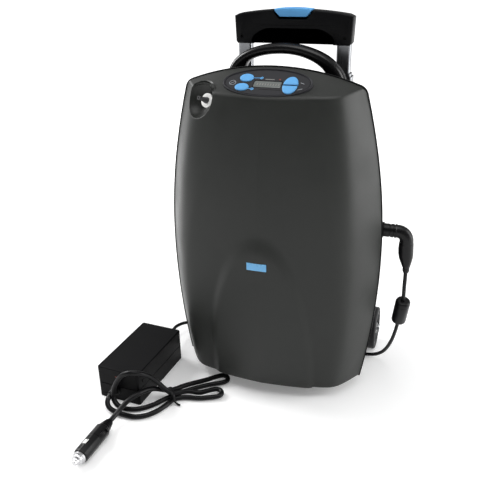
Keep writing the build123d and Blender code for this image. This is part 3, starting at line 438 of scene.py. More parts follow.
# Out of the adapter, round the floor to the near fold, up the leaning loop, round the floor again to
# the far fold, and over the adapter's corner to the plug.
INPUT_ROUTE = [
    adapter_place(FRONT_RELIEF[0], -14.0, FRONT_RELIEF[1]),
    (-205.4, -160, 15.8), (-204, -166, 11.5), (-198, -170.5, 7),
    (-187, -172.5, 4.6), (-173, -174, 4), (-156, -174, 4), (-141, -166, 4), (-130, -151, 4),
    (-123, -134, 4.1), (-120, -120.2, 4.1), (-108, -112, 4), (-97, -109, 4),
    *fold_points((-63.2, -88.6), 33.0, 4.0, 6.6),
    (-101, -100, 9), (-112, -108.5, 10.4), (-122.4, -117.3, 10.8), (-134, -120, 21), (-143, -124, 35),
    (-150, -133, 49), (-158, -144, 59), (-170, -150, 62), (-183, -150.5, 56), (-193, -150.5, 43),
    (-199.5, -151.5, 28), (-199, -157, 14), (-189, -162, 7), (-175, -162.5, 4.8), (-157, -156, 4.1),
    (-142, -141, 4.1), (-133, -125.5, 4.1), (-124.8, -114.2, 4.1), (-115, -101.5, 4.2), (-101, -88, 4.2),
    *fold_points((-66.0, -53.0), 38.8, 4.0, 6.6),
    (-103, -79.5, 8.2), (-115, -93, 9.6), (-122.5, -104.5, 10.6), (-129, -111.5, 11.6),
    (-137.5, -116, 14.2), (-147, -122, 19), (-154, -136, 25.5), (-162, -152, 26.5), (-170.5, -163.5, 22.5),
    (-176, -175, 16.5), (-179.2, -187, 12), (-180.8, -199.5, 11)]


def cord_line(name, route, diameter, node):
    """A round cord whose line is a smooth spline with the route as its control points."""
    curve = bpy.data.curves.new(name, "CURVE")
    curve.dimensions = "3D"
    curve.bevel_depth = diameter / 2 * MM
    curve.bevel_resolution = 5
    curve.use_fill_caps = True
    line = curve.splines.new("NURBS")
    line.points.add(len(route) - 1)
    for point, place in zip(line.points, route):
        point.co = (*at(*place), 1.0)
    line.order_u = 3
    line.use_endpoint_u = True
    line.resolution_u = 8
    line.use_smooth = True
    curve.materials.append(MATERIALS["lead_black"])
    cord = bpy.data.objects.new(name, curve)
    bpy.context.scene.collection.objects.link(cord)
    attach(cord, "unit")
    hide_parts(node)
    return cord


output_cord = cord_line("output_cord", OUTPUT_ROUTE, LEAD_DIAMETER, "output_lead")
input_cord = cord_line("input_cord", INPUT_ROUTE, INPUT_DIAMETER, "input_lead_hank")


# ---------------------------------------------------------------- case surfaces
CASE_BOTTOM, CASE_TOP = 18.0, 472.0
WIDEST, WIDEST_HEIGHT = 154.5, 215.0
TAPER_UP, TAPER_DOWN = 6.2e-4, 4.6e-4
TOP_ARC_RADIUS = 336.0
FRONT_DEPTH, FRONT_TUCK, FRONT_DEEPEST, FRONT_REACH = 77.0, 19.0, 226.0, 208.0
DECK_SLOPE = math.radians(28.0)
DECK_REACH = 95.0
CORNER_CENTRE = (107.4, 437.3)
CORNER_RADIUS = 16.0
PLAN_SHARES = [(1.0, 0.0), (0.924, 0.30), (0.83, 0.62), (0.74, 0.80), (0.55, 0.875), (0.30, 0.96), (0.0, 1.0)]
POCKET_CENTRE = Vector((-93.0, -43.0, 440.0))
POCKET_RADIUS = 25.0
POCKET_STRETCH = 1.2
PANEL_HALF = (59.0, 28.0)
PANEL_MIDDLE = (0.0, -28.0)
LENS_Z = 222.0
LENS_HALF = (14.0, 5.5)
SHELL_WALL = 2.5
# The raised arch on the front face, and the low dome inside it: half width, height and foot of each.
ARCH = (121.5, 380.0, 56.0)
ARCH_DROP, ARCH_SOFTNESS = 22.0, 0.018
DOME = (75.0, 194.0, 60.0)
DOME_RISE = 5.0


def half_width(z):
    taper = TAPER_UP if z > WIDEST_HEIGHT else TAPER_DOWN
    return WIDEST - taper * (z - WIDEST_HEIGHT) ** 2


def front_depth(z):
    return FRONT_DEPTH - FRONT_TUCK * ((z - FRONT_DEEPEST) / FRONT_REACH) ** 2


def arc_height(x):
    return CASE_TOP - TOP_ARC_RADIUS + math.sqrt(TOP_ARC_RADIUS ** 2 - x ** 2)


def deck_height(x, y):
    level = CASE_TOP - DECK_REACH * math.tan(DECK_SLOPE)
    share = -y / DECK_REACH
    return arc_height(x) * (1 - share) + level * share


def arch_reach(x, z, half, height, foot):
    """1 on an elliptical arch with straight legs, less inside it and more outside."""
    return math.hypot(x / half, max(0.0, z - foot) / height)


def wall_point(across_share, out_share, z):
    """A point on the front face below the ridge, with the arch and the dome in it."""
    x = half_width(z) * across_share
    depth = front_depth(z) * out_share
    outer = arch_reach(x, z, *ARCH)
    beyond = outer - 1
    if outer < 1.4:
        beyond = ARCH_SOFTNESS * math.log1p(math.exp((outer - 1) / ARCH_SOFTNESS))
    depth -= ARCH_DROP * beyond * out_share ** 0.7
    inner = arch_reach(x, z, *DOME)
    depth += DOME_RISE * smoothstep(1.07, 0.90, inner) * out_share
    return x, -depth, z


def in_corner(x, y, z):
    """Pulls a point beyond the rounded upper corner onto it."""
    dx, dz = abs(x) - CORNER_CENTRE[0], z - CORNER_CENTRE[1]
    far = math.hypot(dx, dz)
    if dx > 0 and dz > 0 and far > CORNER_RADIUS:
        dx, dz = dx * CORNER_RADIUS / far, dz * CORNER_RADIUS / far
        return math.copysign(CORNER_CENTRE[0] + dx, x), y, CORNER_CENTRE[1] + dz
    return x, y, z


def in_pocket(x, y, z):
    """Pushes the surface back onto the outlet's scooped pocket, with a soft lip."""
    away = Vector((x, y, z)) - POCKET_CENTRE
    away.z /= POCKET_STRETCH
    far = away.length
    lip = 1.2
    if far > POCKET_RADIUS + 8 * lip:
        return x, y, z
    away *= (far + lip * math.log1p(math.exp((POCKET_RADIUS - far) / lip))) / far
    away.z *= POCKET_STRETCH
    return tuple(POCKET_CENTRE + away)


def ridge_height(across_share, out_share):
    """Where the front face meets the control deck on one column."""
    low, high = 300.0, 480.0
    for _ in range(40):
        middle = (low + high) / 2
        x, y, _z = wall_point(across_share, out_share, middle)
        if deck_height(x, y) > middle:
            low = middle
        else:
            high = middle
    return low


def front_column(across_share, out_share):
    """One upright line of the front shell, from its bottom edge over the ridge to the parting line."""
    ridge = ridge_height(across_share, out_share)
    edge = 4.0
    rows = 150
    bottom_radius = 3.0
    column = []
    for index in range(5):
        angle = math.pi / 2 * index / 4
        lift = bottom_radius * (1 - math.cos(angle))
        tuck = bottom_radius * (1 - math.sin(angle))
        x, y, _z = wall_point(across_share, out_share, CASE_BOTTOM + lift)
        column.append((x * (1 - tuck / WIDEST), y * (1 - tuck / FRONT_DEPTH), CASE_BOTTOM + lift))
    start = CASE_BOTTOM + bottom_radius
    for index in range(1, rows + 1):
        share = 1 - (1 - index / rows) ** 1.45
        column.append(wall_point(across_share, out_share, start + (ridge - edge - start) * share))
    crest = Vector(wall_point(across_share, out_share, ridge))
    below = Vector(column[-1])
    run = -crest.y
    step = min(edge, run * 0.45)
    beyond = Vector((crest.x, crest.y + step, deck_height(crest.x, crest.y + step)))
    for index in range(1, 6):
        t = index / 6
        column.append(tuple(below * (1 - t) ** 2 + crest * 2 * t * (1 - t) + beyond * t ** 2))
    deck_rows = 36
    for index in range(deck_rows + 1):
        y = beyond.y * (1 - index / deck_rows)
        column.append((crest.x, y, deck_height(crest.x, y)))
    return [in_pocket(*in_corner(*p)) for p in column]


def make_front_shell():
    half = bspline([(a, o, 0) for a, o in PLAN_SHARES], 84)
    shares = [(-p.x, p.y) for p in half] + [(p.x, p.y) for p in reversed(half[:-1])]
    columns = [front_column(a, o) for a, o in shares]
    rows = len(columns[0])
    points = [p for column in columns for p in column]
    faces = [tuple(reversed(f)) for f in strip_faces(len(columns), rows, False)]
    shell = add_mesh("front_cover", points, faces, "case_grey", sharp=60.0)
    wall = shell.modifiers.new("wall", "SOLIDIFY")
    wall.thickness = SHELL_WALL * MM
    wall.offset = -1.0
    wall.use_even_offset = False
    bake(shell, 60.0)
    panel_cut = panel_prism("panel_cut", PANEL_HALF, (-12.0, 14.0), "case_grey")
    lens_cut = lens_prism("lens_cut", *LENS_HALF, (-90.0, -60.0))
    carve(shell, panel_cut, lens_cut, sharp=50.0)
    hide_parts("front_shell")


def deck_frame(x, y, lift=0.0):
    """Origin, sideways and uphill vectors of a plane on the control deck."""
    normal = Vector((0, -math.sin(DECK_SLOPE), math.cos(DECK_SLOPE)))
    origin = Vector((x, y, deck_height(x, y))) + normal * lift
    return origin, Vector((1, 0, 0)), Vector((0, math.cos(DECK_SLOPE), math.sin(DECK_SLOPE)))


def ellipse(half_u, half_v, count=96, middle=(0.0, 0.0)):
    turn = [2 * math.pi * index / count for index in range(count)]
    return [(middle[0] + half_u * math.cos(a), middle[1] + half_v * math.sin(a)) for a in turn]


def panel_prism(name, half, depth, slot):
    return prism(name, ellipse(*half), deck_frame(*PANEL_MIDDLE), depth, slot)


def lens_outline(half_u, half_v, bulge=1.5):
    """Barrel shape: straight ends, bowed top and bottom."""
    points = []
    for side in (1, -1):
        for index in range(13):
            t = 1 - 2 * index / 12
            points.append((side * t * half_u, side * (half_v - bulge + bulge * (1 - t * t))))
    return points


def lens_prism(name, half_u, half_v, depth):
    plane = (Vector((0, 0, LENS_Z)), Vector((1, 0, 0)), Vector((0, 0, 1)))
    outline = lens_outline(half_u, half_v)
    return prism(name, outline, plane, (-depth[0], -depth[1]), "case_grey")


make_front_shell()

# ---------------------------------------------------------------- carry handle
HANDLE_Y = 60.0
HANDLE_HALF_DEPTH = 12.0
# Outer and under edges of the handle's arch at matching places, as (x, z).
HANDLE_OUTER = [(-86.5, 434), (-84.5, 449), (-80.5, 461), (-73.6, 471.6), (-61, 481.6), (-44, 488.8),
                (-25, 493), (-4, 495.3), (17, 494), (37, 489.2), (55, 482.3), (69, 473.2), (80.5, 460),
                (86.5, 446), (89, 433)]
HANDLE_UNDER = [(-62, 430), (-58, 449), (-55.7, 463), (-51.5, 469.2), (-44, 473.4), (-33, 476.9),
                (-19, 479.4), (-3, 480.4), (15, 479.4), (31, 475.1), (44, 469), (54, 461.4), (60, 451.5),
                (62.5, 441), (63, 429)]


def superellipse(angle, power):
    """Point of a unit superellipse."""
    c, s = math.cos(angle), math.sin(angle)
    return math.copysign(abs(c) ** (2 / power), c), math.copysign(abs(s) ** (2 / power), s)


def make_carry_handle():
    """Arched handle, thin at its top and wide at its feet, with a seam along its upper side."""
    count, around = 72, 44
    outer = bspline([(x, 0, z) for x, z in HANDLE_OUTER], count)
    under = bspline([(x, 0, z) for x, z in HANDLE_UNDER], count)
    rows = []
    for top, low in zip(outer, under):
        middle = (top + low) / 2
        half = (top - low) / 2
        row = []
        for index in range(around):
            angle = 2 * math.pi * index / around
            rise, side = superellipse(angle, 2.5)
            seam = 0.96 if index == 0 else 1.0
            place = middle + half * rise * seam
            row.append((place.x, HANDLE_Y + HANDLE_HALF_DEPTH * side, place.z))
        rows.append(row)
    handle = loft("carry_arch", rows, "gloss_black", sharp=50.0)
    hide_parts("carry_handle")


# ---------------------------------------------------------------- pull grip and its release button
GRIP_HALF = 85.0
GRIP_FRONT, GRIP_BACK = 95.0, 119.0
GRIP_LOW, GRIP_SHOULDER, GRIP_CREST = 488.0, 527.5, 534.6
WELL_FLOOR = 521.5


def grip_outline():
    """The grip seen from the front, as (x, z) points."""
    top = []
    for index in range(25):
        x = GRIP_HALF * (1 - 2 * index / 24)
        top.append((x, GRIP_CREST - (GRIP_CREST - GRIP_SHOULDER) * (x / GRIP_HALF) ** 2))
    top[0] = (GRIP_HALF, GRIP_SHOULDER - 2)
    top[-1] = (-GRIP_HALF, GRIP_SHOULDER - 2)
    arch = bspline([(-58, 0, GRIP_LOW), (-58, 0, 492), (-56.5, 0, 497), (-50, 0, 502), (-41, 0, 506.5),
                    (-32, 0, 508), (-16, 0, 506), (0, 0, 505), (16, 0, 506), (32, 0, 508), (41, 0, 506.5),
                    (50, 0, 502), (56.5, 0, 497), (58, 0, 492), (58, 0, GRIP_LOW)], 50)
    left = [(-GRIP_HALF + 1.5, GRIP_LOW + 3), (-GRIP_HALF + 4, GRIP_LOW)]
    right = [(GRIP_HALF - 4, GRIP_LOW), (GRIP_HALF - 1.5, GRIP_LOW + 3)]
    return top + left + [(p.x, p.z) for p in arch] + right


def shrunk(outline, amount):
    """The outline moved inwards by an amount along its own normals."""
    result = []
    count = len(outline)
    for index in range(count):
        ax, az = outline[index - 1]
        bx, bz = outline[(index + 1) % count]
        length = math.hypot(bx - ax, bz - az) or 1.0
        x, z = outline[index]
        result.append((x - (bz - az) / length * amount, z + (bx - ax) / length * amount))
    return result


def upright_rows(outline, steps):
    """Rows of an (x, z) outline at each (y, inset) step."""
    rows = []
    for y, inset in steps:
        rows.append([(x, y, z) for x, z in shrunk(outline, inset)])
    return rows


def make_pull_grip():
    """Arched grip with a well for its key, two screw wells and a shallow line across its front."""
    steps = [(GRIP_FRONT, 2.2), (GRIP_FRONT + 0.7, 0.8), (GRIP_FRONT + 2.2, 0.0), (GRIP_BACK - 2.2, 0.0),
             (GRIP_BACK - 0.7, 0.8), (GRIP_BACK, 2.2)]
    grip = loft("pull_handle", upright_rows(grip_outline(), steps), "case_black", "handle_grip", sharp=45.0)
    trapezoid = [(-20, WELL_FLOOR), (20, WELL_FLOOR), (28, WELL_FLOOR + 9), (29, 560), (-29, 560),
                 (-28, WELL_FLOOR + 9)]
    well = loft("well", [[(x, y, z) for x, z in trapezoid] for y in (GRIP_FRONT - 8, GRIP_BACK - 2.3)],
                "case_black", "handle_grip")
    cutters = [well]
    for x in (-74, 74):
        cutters.append(lathe("screw_well", (x, GRIP_FRONT - 1, 498), (0, 1, 0), [(0, 2.3), (3.2, 2.3)],
                             "case_black", "handle_grip", 24))
    groove = loft("waist", [[(x, y, z) for x, z in ((-60, 513.2), (60, 513.2), (60, 514.0), (-60, 514.0))]
                            for y in (GRIP_FRONT - 1, GRIP_FRONT + 0.5)], "case_black", "handle_grip")
    cutters.append(groove)
    carve(grip, *cutters, sharp=45.0)
    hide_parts("pull_grip")


def make_release_key():
    """Trapezoid-fronted key with a slightly crowned top."""
    low, high = WELL_FLOOR + 3.2, 536.4
    outline = [(-18.6, low), (18.6, low), (21.5, low + 2.2), (26.2, low + 7.2), (26.4, high - 1.6)]
    crest = [(x, high - 1.6 * (x / 26.4) ** 2) for x in (22, 14, 5, -5, -14, -22)]
    outline = outline + crest + [(-26.4, high - 1.6), (-26.2, low + 7.2), (-21.5, low + 2.2)]
    front, back = 95.4, 116.0
    steps = [(front, 1.6), (front + 0.5, 0.6), (front + 1.6, 0.0), (back - 0.8, 0.0), (back, 0.8)]
    key = loft("release_key", upright_rows(outline, steps), "button_blue", "grip_release", sharp=45.0)
    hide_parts("grip_button")


# ---------------------------------------------------------------- control panel
BUTTONS = {
    "power_button": ("power_key", (-29.0, 7.5), (9.0, 7.5)),
    "mode_button": ("mode_key", (-31.0, -11.0), (9.0, 7.0)),
}
ROCKER_MIDDLE = (31.0, -4.0)
ROCKER_HALF = (9.5, 16.5)
ROCKER_GAP = 1.2
KEY_FOOT = -1.6             # clears the pocket floor over the key's 0.6 mm of travel
POCKET_DEPTH = (-2.4, 4.0)  # floor of the keys' pockets, and above the deck
KEY_GAP = 0.35              # round each key
MARK_RISE, MARK_THICKNESS = 0.05, 0.4
SCREEN_MIDDLE = (1.0, -3.3)
SCREEN_HALF = (19.0, 7.0)
PANEL_FACE = -0.3           # face of the panel below the deck


def deck_point(across_it, along_it, lift):
    origin, side, uphill = deck_frame(*PANEL_MIDDLE, lift)
    return origin + side * across_it + uphill * along_it


def deck_rows(outline_at, steps):
    """Rows of a panel outline, one for each (lift, shrink) step."""
    rows = []
    for lift, shrink in steps:
        rows.append([deck_point(u, v, lift) for u, v in outline_at(shrink)])
    return rows


def mark(name, points, width, material):
    """A thin printed line on the panel through (u, v) points."""
    faces, verts = [], []
    high = PANEL_FACE + MARK_RISE
    low = high - MARK_THICKNESS
    for (u0, v0), (u1, v1) in zip(points, points[1:]):
        length = math.hypot(u1 - u0, v1 - v0)
        du, dv = -(v1 - v0) / length * width / 2, (u1 - u0) / length * width / 2
        base = len(verts)
        for lift in (high, low):
            verts += [deck_point(u0 - du, v0 - dv, lift), deck_point(u1 - du, v1 - dv, lift),
                      deck_point(u1 + du, v1 + dv, lift), deck_point(u0 + du, v0 + dv, lift)]
        quads = [(0, 1, 2, 3), (7, 6, 5, 4), (0, 4, 5, 1), (1, 5, 6, 2), (2, 6, 7, 3), (3, 7, 4, 0)]
        faces += [tuple(base + i for i in quad) for quad in quads]
    piece = add_mesh(name, verts, faces, "panel_charcoal")
    piece.data.materials[0] = material


def circle_points(middle, radius, count):
    """Points round a whole circle, ending where it starts."""
    turns = [math.radians(360.0 / count * index) for index in range(count + 1)]
    return [(middle[0] + radius * math.cos(a), middle[1] + radius * math.sin(a)) for a in turns]


def make_panel():
    """Raised ring round a charcoal face, with pockets for the keys and the window."""
    def rim(shrink):
        return ellipse(PANEL_HALF[0] - shrink, PANEL_HALF[1] - shrink, 120)

    steps = [(-3.2, 0.2), (0.35, 0.2), (0.75, 0.7), (0.75, 1.5), (0.3, 2.1), (PANEL_FACE - 0.5, 2.5),
             (PANEL_FACE - 0.5, 3.2), (PANEL_FACE, 3.6)]
    plate = loft("panel_plate", deck_rows(rim, steps), "panel_charcoal", sharp=50.0)
    plane = deck_frame(*PANEL_MIDDLE)
    cutters = []
    for name, (_body, middle, half) in BUTTONS.items():
        pocket = ellipse(half[0] + KEY_GAP, half[1] + KEY_GAP, 64, middle)
        cutters.append(prism(name + "_cut", pocket, plane, POCKET_DEPTH, "panel_charcoal"))
    pocket = ellipse(ROCKER_HALF[0] + KEY_GAP, ROCKER_HALF[1] + KEY_GAP, 72, ROCKER_MIDDLE)
    cutters.append(prism("rocker_cut", pocket, plane, POCKET_DEPTH, "panel_charcoal"))
    cutters.append(prism("window_cut", window_outline(0.0), plane, (-1.2, 4.0), "panel_charcoal"))
    carve(plate, *cutters, sharp=45.0)
    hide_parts("control_panel")
    reach, half_gap = ROCKER_HALF[0] + 0.1, ROCKER_GAP / 2 - 0.1
    corners = ((-reach, -half_gap), (reach, -half_gap), (reach, half_gap), (-reach, half_gap))
    bridge = [(ROCKER_MIDDLE[0] + u, ROCKER_MIDDLE[1] + v) for u, v in corners]
    prism("rocker_bridge", bridge, plane, (POCKET_DEPTH[0], PANEL_FACE), "panel_charcoal")


def window_outline(shrink):
    """The display's outline: bowed ends and square corners, slightly rounded."""
    u0, v0 = SCREEN_MIDDLE
    half_u, half_v = SCREEN_HALF[0] - shrink, SCREEN_HALF[1] - shrink
    points = []
    for corner, (su, sv) in enumerate(((1, 1), (-1, 1), (-1, -1), (1, -1))):
        for index in range(6):
            angle = math.radians(90 * corner + 90 * index / 5)
            points.append((u0 + su * (half_u - 1.8) + 1.8 * math.cos(angle),
                           v0 + sv * (half_v - 1.8) + 1.8 * math.sin(angle)))
    return points


def make_display():
    """Window with its dark frame and grey glass, and a row of generic segments."""
    frame_ring = prism("display_frame", window_outline(0.25), deck_frame(*PANEL_MIDDLE), (-1.3, -0.75),
                       "panel_charcoal")
    frame_ring.data.materials[0] = NEAR_BLACK_AND_SHADE
    glass = loft("display_glass", deck_rows(window_outline, [(-1.2, 1.2), (-0.45, 1.2), (-0.3, 1.5)]),
                 "screen", sharp=50.0)
    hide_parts("display_window")
    for index in range(9):
        u = SCREEN_MIDDLE[0] - 14 + 3.5 * index
        bar = prism("segment", [(u, -5.4), (u + 1.5, -5.4), (u + 1.9, -2.0), (u + 0.4, -2.0)],
                    deck_frame(*PANEL_MIDDLE), (-0.4, -0.27), "panel_charcoal")
        bar.data.materials[0] = MARK_GREY


def make_keys():
    """Domed blue keys in their pockets, clear of the pocket floor when pressed."""
    round_steps = [(KEY_FOOT, 0.0), (0.35, 0.0), (0.75, 0.35), (0.95, 1.0), (1.15, 2.6), (1.25, 4.4)]
    rocker_steps = [(KEY_FOOT, 0.0), (0.35, 0.0), (0.75, 0.35), (0.95, 1.0), (1.15, 2.4)]
    for node, (body, middle, half) in BUTTONS.items():
        def outline_at(shrink, half=half, middle=middle):
            return ellipse(half[0] - shrink, half[1] - shrink, 64, middle)

        key = loft(node + "_cap", deck_rows(outline_at, round_steps), "button_blue", body, sharp=60.0)
        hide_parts(node)
    for node, body, sign in (("plus_button", "plus_key", 1), ("minus_button", "minus_key", -1)):
        def outline_at(shrink, sign=sign):
            points = []
            for index in range(41):
                angle = math.pi * index / 40
                points.append((ROCKER_MIDDLE[0] + (ROCKER_HALF[0] - shrink) * math.cos(angle),
                               ROCKER_MIDDLE[1] + sign * (ROCKER_GAP + shrink
                                                          + (ROCKER_HALF[1] - ROCKER_GAP - 2 * shrink)
                                                          * math.sin(angle))))
            return points if sign > 0 else list(reversed(points))

        key = loft(node + "_cap", deck_rows(outline_at, rocker_steps), "button_blue", body, sharp=60.0)
        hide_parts(node)


def make_panel_marks():
    """Linked dots beside the keys, an alarm ring, arrows by the rocker and a red lamp."""
    blue = MATERIALS["button_blue"]
    for start, dot in (((-20.5, 8.2), (-9.4, 8.6)), ((-23.0, -13.0), (-16.8, -13.4))):
        mark("link", [start, dot], 1.0, blue)
        mark("dot", circle_points(dot, 1.6, 20), 1.5, blue)
    mark("alarm_ring", circle_points((-45.4, -2.8), 4.2, 24), 0.6, PANEL_INK)
    mark("alarm_slash", [(-48.6, -6.0), (-42.2, 0.4)], 0.6, PANEL_INK)
    mark("upper_arrow", [(43.0, 2.4), (48.0, 0.2)], 0.8, PANEL_INK)
    mark("lower_arrow", [(42.0, -11.5), (47.5, -9.0)], 0.8, PANEL_INK)
    mark("guide_line", [(-7.5, -13.6), (20.5, -13.6)], 1.1, NEAR_BLACK_AND_SHADE)
    mark("lamp_line", [(-4.0, 6.4), (8.0, 6.4)], 1.6, MARK_GREY)
    mark("red_lamp", circle_points((15.1, 6.9), 0.8, 12), 1.2, MARK_RED)


make_carry_handle()
make_pull_grip()
make_release_key()
make_panel()
make_display()
make_keys()
make_panel_marks()

# ---------------------------------------------------------------- swept pieces
def swept(name, points, radii, slot, around=32, sharp=35.0):
    """A round piece along a line of points with a radius at each."""
    spots = [Vector(p) for p in points]
    first, _second = across(spots[1] - spots[0])
    rows = []
    for index, (spot, radius) in enumerate(zip(spots, radii)):
        ahead = spots[min(index + 1, len(spots) - 1)] - spots[max(index - 1, 0)]
        ahead.normalize()
        first = (first - ahead * first.dot(ahead)).normalized()
        second = ahead.cross(first)
        turns = [2 * math.pi * step / around for step in range(around)]
        rows.append([spot + (first * math.cos(a) + second * math.sin(a)) * radius for a in turns])
    return loft(name, rows, slot, sharp=sharp)


def ribbed(start, end, big, small, ribs, depth=0.5):
    """Profile of a tapered strain relief with rings round it, as (distance, radius)."""
    profile = [(start, big)]
    for index in range(ribs):
        share = (index + 0.35) / ribs
        place = start + (end - start) * share
        radius = big + (small - big) * share
        step = (end - start) / ribs
        profile += [(place, radius), (place + 0.12 * step, radius - depth),
                    (place + 0.38 * step, radius - depth), (place + 0.50 * step, radius)]
    profile += [(end - 0.6, small + 0.1), (end, small - 0.35)]
    return profile


# ---------------------------------------------------------------- power plug and ferrite
PLUG_Y, PLUG_Z = 15.0, 256.0
ELBOW_RADIUS = 13.0
BOOT_X = 187.0


def make_power_plug():
    """Right-angle plug: ringed collar, smooth elbow, swelling boot and end ring."""
    stations = []
    collar = [(146, 5.2), (154, 5.2), (154.3, 8.6), (155.2, 9.4), (163, 9.4), (163.4, 8.7), (164.4, 8.7),
              (164.8, 9.5), (168.6, 9.5), (169, 8.8), (170, 8.8), (170.4, 9.7), (172.4, 9.7), (172.8, 9.1)]
    for x, radius in collar:
        stations.append(((x, PLUG_Y, PLUG_Z), radius))
    for index in range(1, 12):
        angle = math.pi / 2 * index / 11
        x = BOOT_X - ELBOW_RADIUS + ELBOW_RADIUS * math.sin(angle)
        z = PLUG_Z - ELBOW_RADIUS + ELBOW_RADIUS * math.cos(angle)
        stations.append(((x, PLUG_Y, z), 9.1 + 0.4 * index / 11))
    boot = [(240, 9.6), (239.6, 10.0), (232, 10.4), (225, 10.4), (219, 9.8), (213, 8.3), (207, 6.5),
            (203.5, 5.3), (203, 4.9), (197.5, 4.7), (196.8, 4.3), (195.5, 4.1)]
    for z, radius in boot:
        lean = 3.0 * smoothstep(236, 198, z)
        stations.append(((BOOT_X + lean, PLUG_Y, z), radius))
    plug = swept("lead_plug", [p for p, _r in stations], [r for _p, r in stations], "lead_black", sharp=30.0)
    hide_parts("power_plug")
    return plug


def make_ferrite():
    """Moulded sleeve with rounded ends and a shallow ring."""
    top, bottom = Vector(OUTPUT_ROUTE[2]), Vector(OUTPUT_ROUTE[4])
    length = (bottom - top).length
    profile = [(-0.5, 3.0), (-0.5, 7.4), (0.1, 9.0), (1.2, 10.1), (2.8, 10.6), (6.6, 10.6), (6.9, 10.2),
               (7.5, 10.2), (7.8, 10.6), (length - 2.8, 10.6), (length - 1.2, 10.1), (length - 0.1, 9.0),
               (length + 0.5, 7.4), (length + 0.5, 3.0)]
    sleeve = lathe("lead_filter", top, bottom - top, profile, "lead_black", segments=56)
    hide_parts("ferrite")
    return sleeve


# ---------------------------------------------------------------- adapter
def adapter_box(name, low, high, material=None):
    """A softly bevelled block in the adapter's own frame, from its low to its high corner."""
    rows = []
    ease = 0.4
    for height, inset in ((low[2], ease), (low[2] + ease, 0), (high[2] - ease, 0), (high[2], ease)):
        rows.append([adapter_place(u, v, height) for u, v in
                     ((low[0] + inset, low[1] + inset), (high[0] - inset, low[1] + inset),
                      (high[0] - inset, high[1] - inset), (low[0] + inset, high[1] - inset))])
    piece = loft(name, rows, "case_black")
    if material:
        piece.data.materials[0] = material
    return piece


def make_adapter():
    """Details on the adapter's CAD case, as its rear pieces and its front pieces."""
    forward = Vector(adapter_place(0, 1, 0)) - Vector(adapter_place(0, 0, 0))
    rear_profile = [(0, 7.6), (3.2, 7.6)] + ribbed(3.6, 28.0, 7.0, 4.4, 6)
    rear_base = adapter_place(REAR_RELIEF[0], ADAPTER_LENGTH - 2, REAR_RELIEF[1])
    rear = [lathe("rear_relief", rear_base, forward, rear_profile, "lead_black", segments=40)]
    front_profile = [(-4, 8.0), (5.2, 8.0)] + ribbed(5.6, 18.4, 6.6, 4.5, 3)
    front_base = adapter_place(FRONT_RELIEF[0], 4.0, FRONT_RELIEF[1])
    front = [lathe("front_relief", front_base, -forward, front_profile, "lead_black", segments=40)]
    for along, pieces in ((ADAPTER_LENGTH - 9, rear), (12, front)):
        pieces.append(adapter_box("side_tab", (ADAPTER_WIDTH - 1, along, 33),
                                  (ADAPTER_WIDTH + 0.5, along + 5, 38)))
        pieces.append(adapter_box("side_tab", (-0.5, along, 19), (1, along + 5, 24)))
    front.append(adapter_box("front_lip", (8, -0.5, 2.6), (20, 1, 7.5)))
    front.append(adapter_box("red_mark", (30.0, -0.25, 40.0), (37.0, 1, 42.0), MARK_RED))
    front.append(adapter_box("red_mark", (34.5, -0.25, 33.5), (36.2, 1, 38.6), MARK_RED))
    return rear, front


# ---------------------------------------------------------------- tie round the hank
TIE_MIDDLE = Vector((-124.0, -116.0, 0.0))
TIE_HEADING = math.radians(39.0)


def tie_point(ahead, aside, height):
    forward = Vector((math.cos(TIE_HEADING), math.sin(TIE_HEADING), 0))
    left = Vector((-math.sin(TIE_HEADING), math.cos(TIE_HEADING), 0))
    return TIE_MIDDLE + forward * ahead + left * aside + Vector((0, 0, height))


def make_tie():
    """A band pulled round the strands of the hank, with its two ends free."""
    loop = bspline([(-10.6, 0, 1.2), (-11.4, 0, 5.5), (-9.6, 0, 11), (-5, 0, 15.6), (1.5, 0, 16.6),
                    (8.5, 0, 16.8), (12.2, 0, 12.5), (10.2, 0, 6.5), (6.5, 0, 1.6), (-1, 0, 0.6)], 56, True)
    middle = Vector((0, 0, 8))
    section = [(-3.2, -0.3), (-2.4, 0.5), (0, 0.85), (2.4, 0.5), (3.2, -0.3), (2.4, -0.8), (-2.4, -0.8)]
    rows = []
    for index, spot in enumerate(loop):
        run = loop[(index + 1) % len(loop)] - loop[index - 1]
        out = Vector((run.z, 0, -run.x)).normalized()
        if out.dot(spot - middle) < 0:
            out = -out
        rows.append([tie_point(u, spot.x + out.x * v, max(0.3, spot.z + out.z * v)) for u, v in section])
    points = [p for row in rows + rows[:1] for p in row]
    band = add_mesh("tie_band", points, strip_faces(len(rows) + 1, len(section), True), "lead_black")
    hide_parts("cable_tie")
    pieces = [band]
    ends = [[(0.5, -10.5, 9), (0.6, -13, 9.5), (-2.5, -15.5, 7), (-6.5, -15.5, 6.5), (-10, -13.5, 7.5)],
            [(-0.5, -10.5, 6), (1.0, -13.5, 5), (3.5, -16.5, 3), (5.0, -19.5, 2), (7.5, -20.5, 2)]]
    for route in ends:
        line = bspline(route, 22)
        radii = [1.5 + 0.35 * math.sin(1.9 * index) for index in range(len(line))]
        pieces.append(swept("tie_end", [tie_point(p.x, p.y, p.z) for p in line], radii, "lead_black",
                            around=12))
    return pieces


# ---------------------------------------------------------------- lighter plug
PLUG_TAIL = Vector(INPUT_ROUTE[-1])
PLUG_TIP = Vector((-184.0, -287.0, 11.0))
RIDGE_TURN = -58.0          # where the thumb ridge is, from straight up
PLUG_ALONG = (PLUG_TIP - PLUG_TAIL).normalized()
PLUG_SIDE = PLUG_ALONG.cross(Vector((0, 0, 1))).normalized()


def plug_point(along, radius, turn):
    """A point of the lighter plug: distance from its tail, radius, angle from straight up (degrees)."""
    angle = math.radians(turn)
    out = Vector((0, 0, 1)) * math.cos(angle) + PLUG_SIDE * math.sin(angle)
    return PLUG_TAIL + PLUG_ALONG * along + out * radius


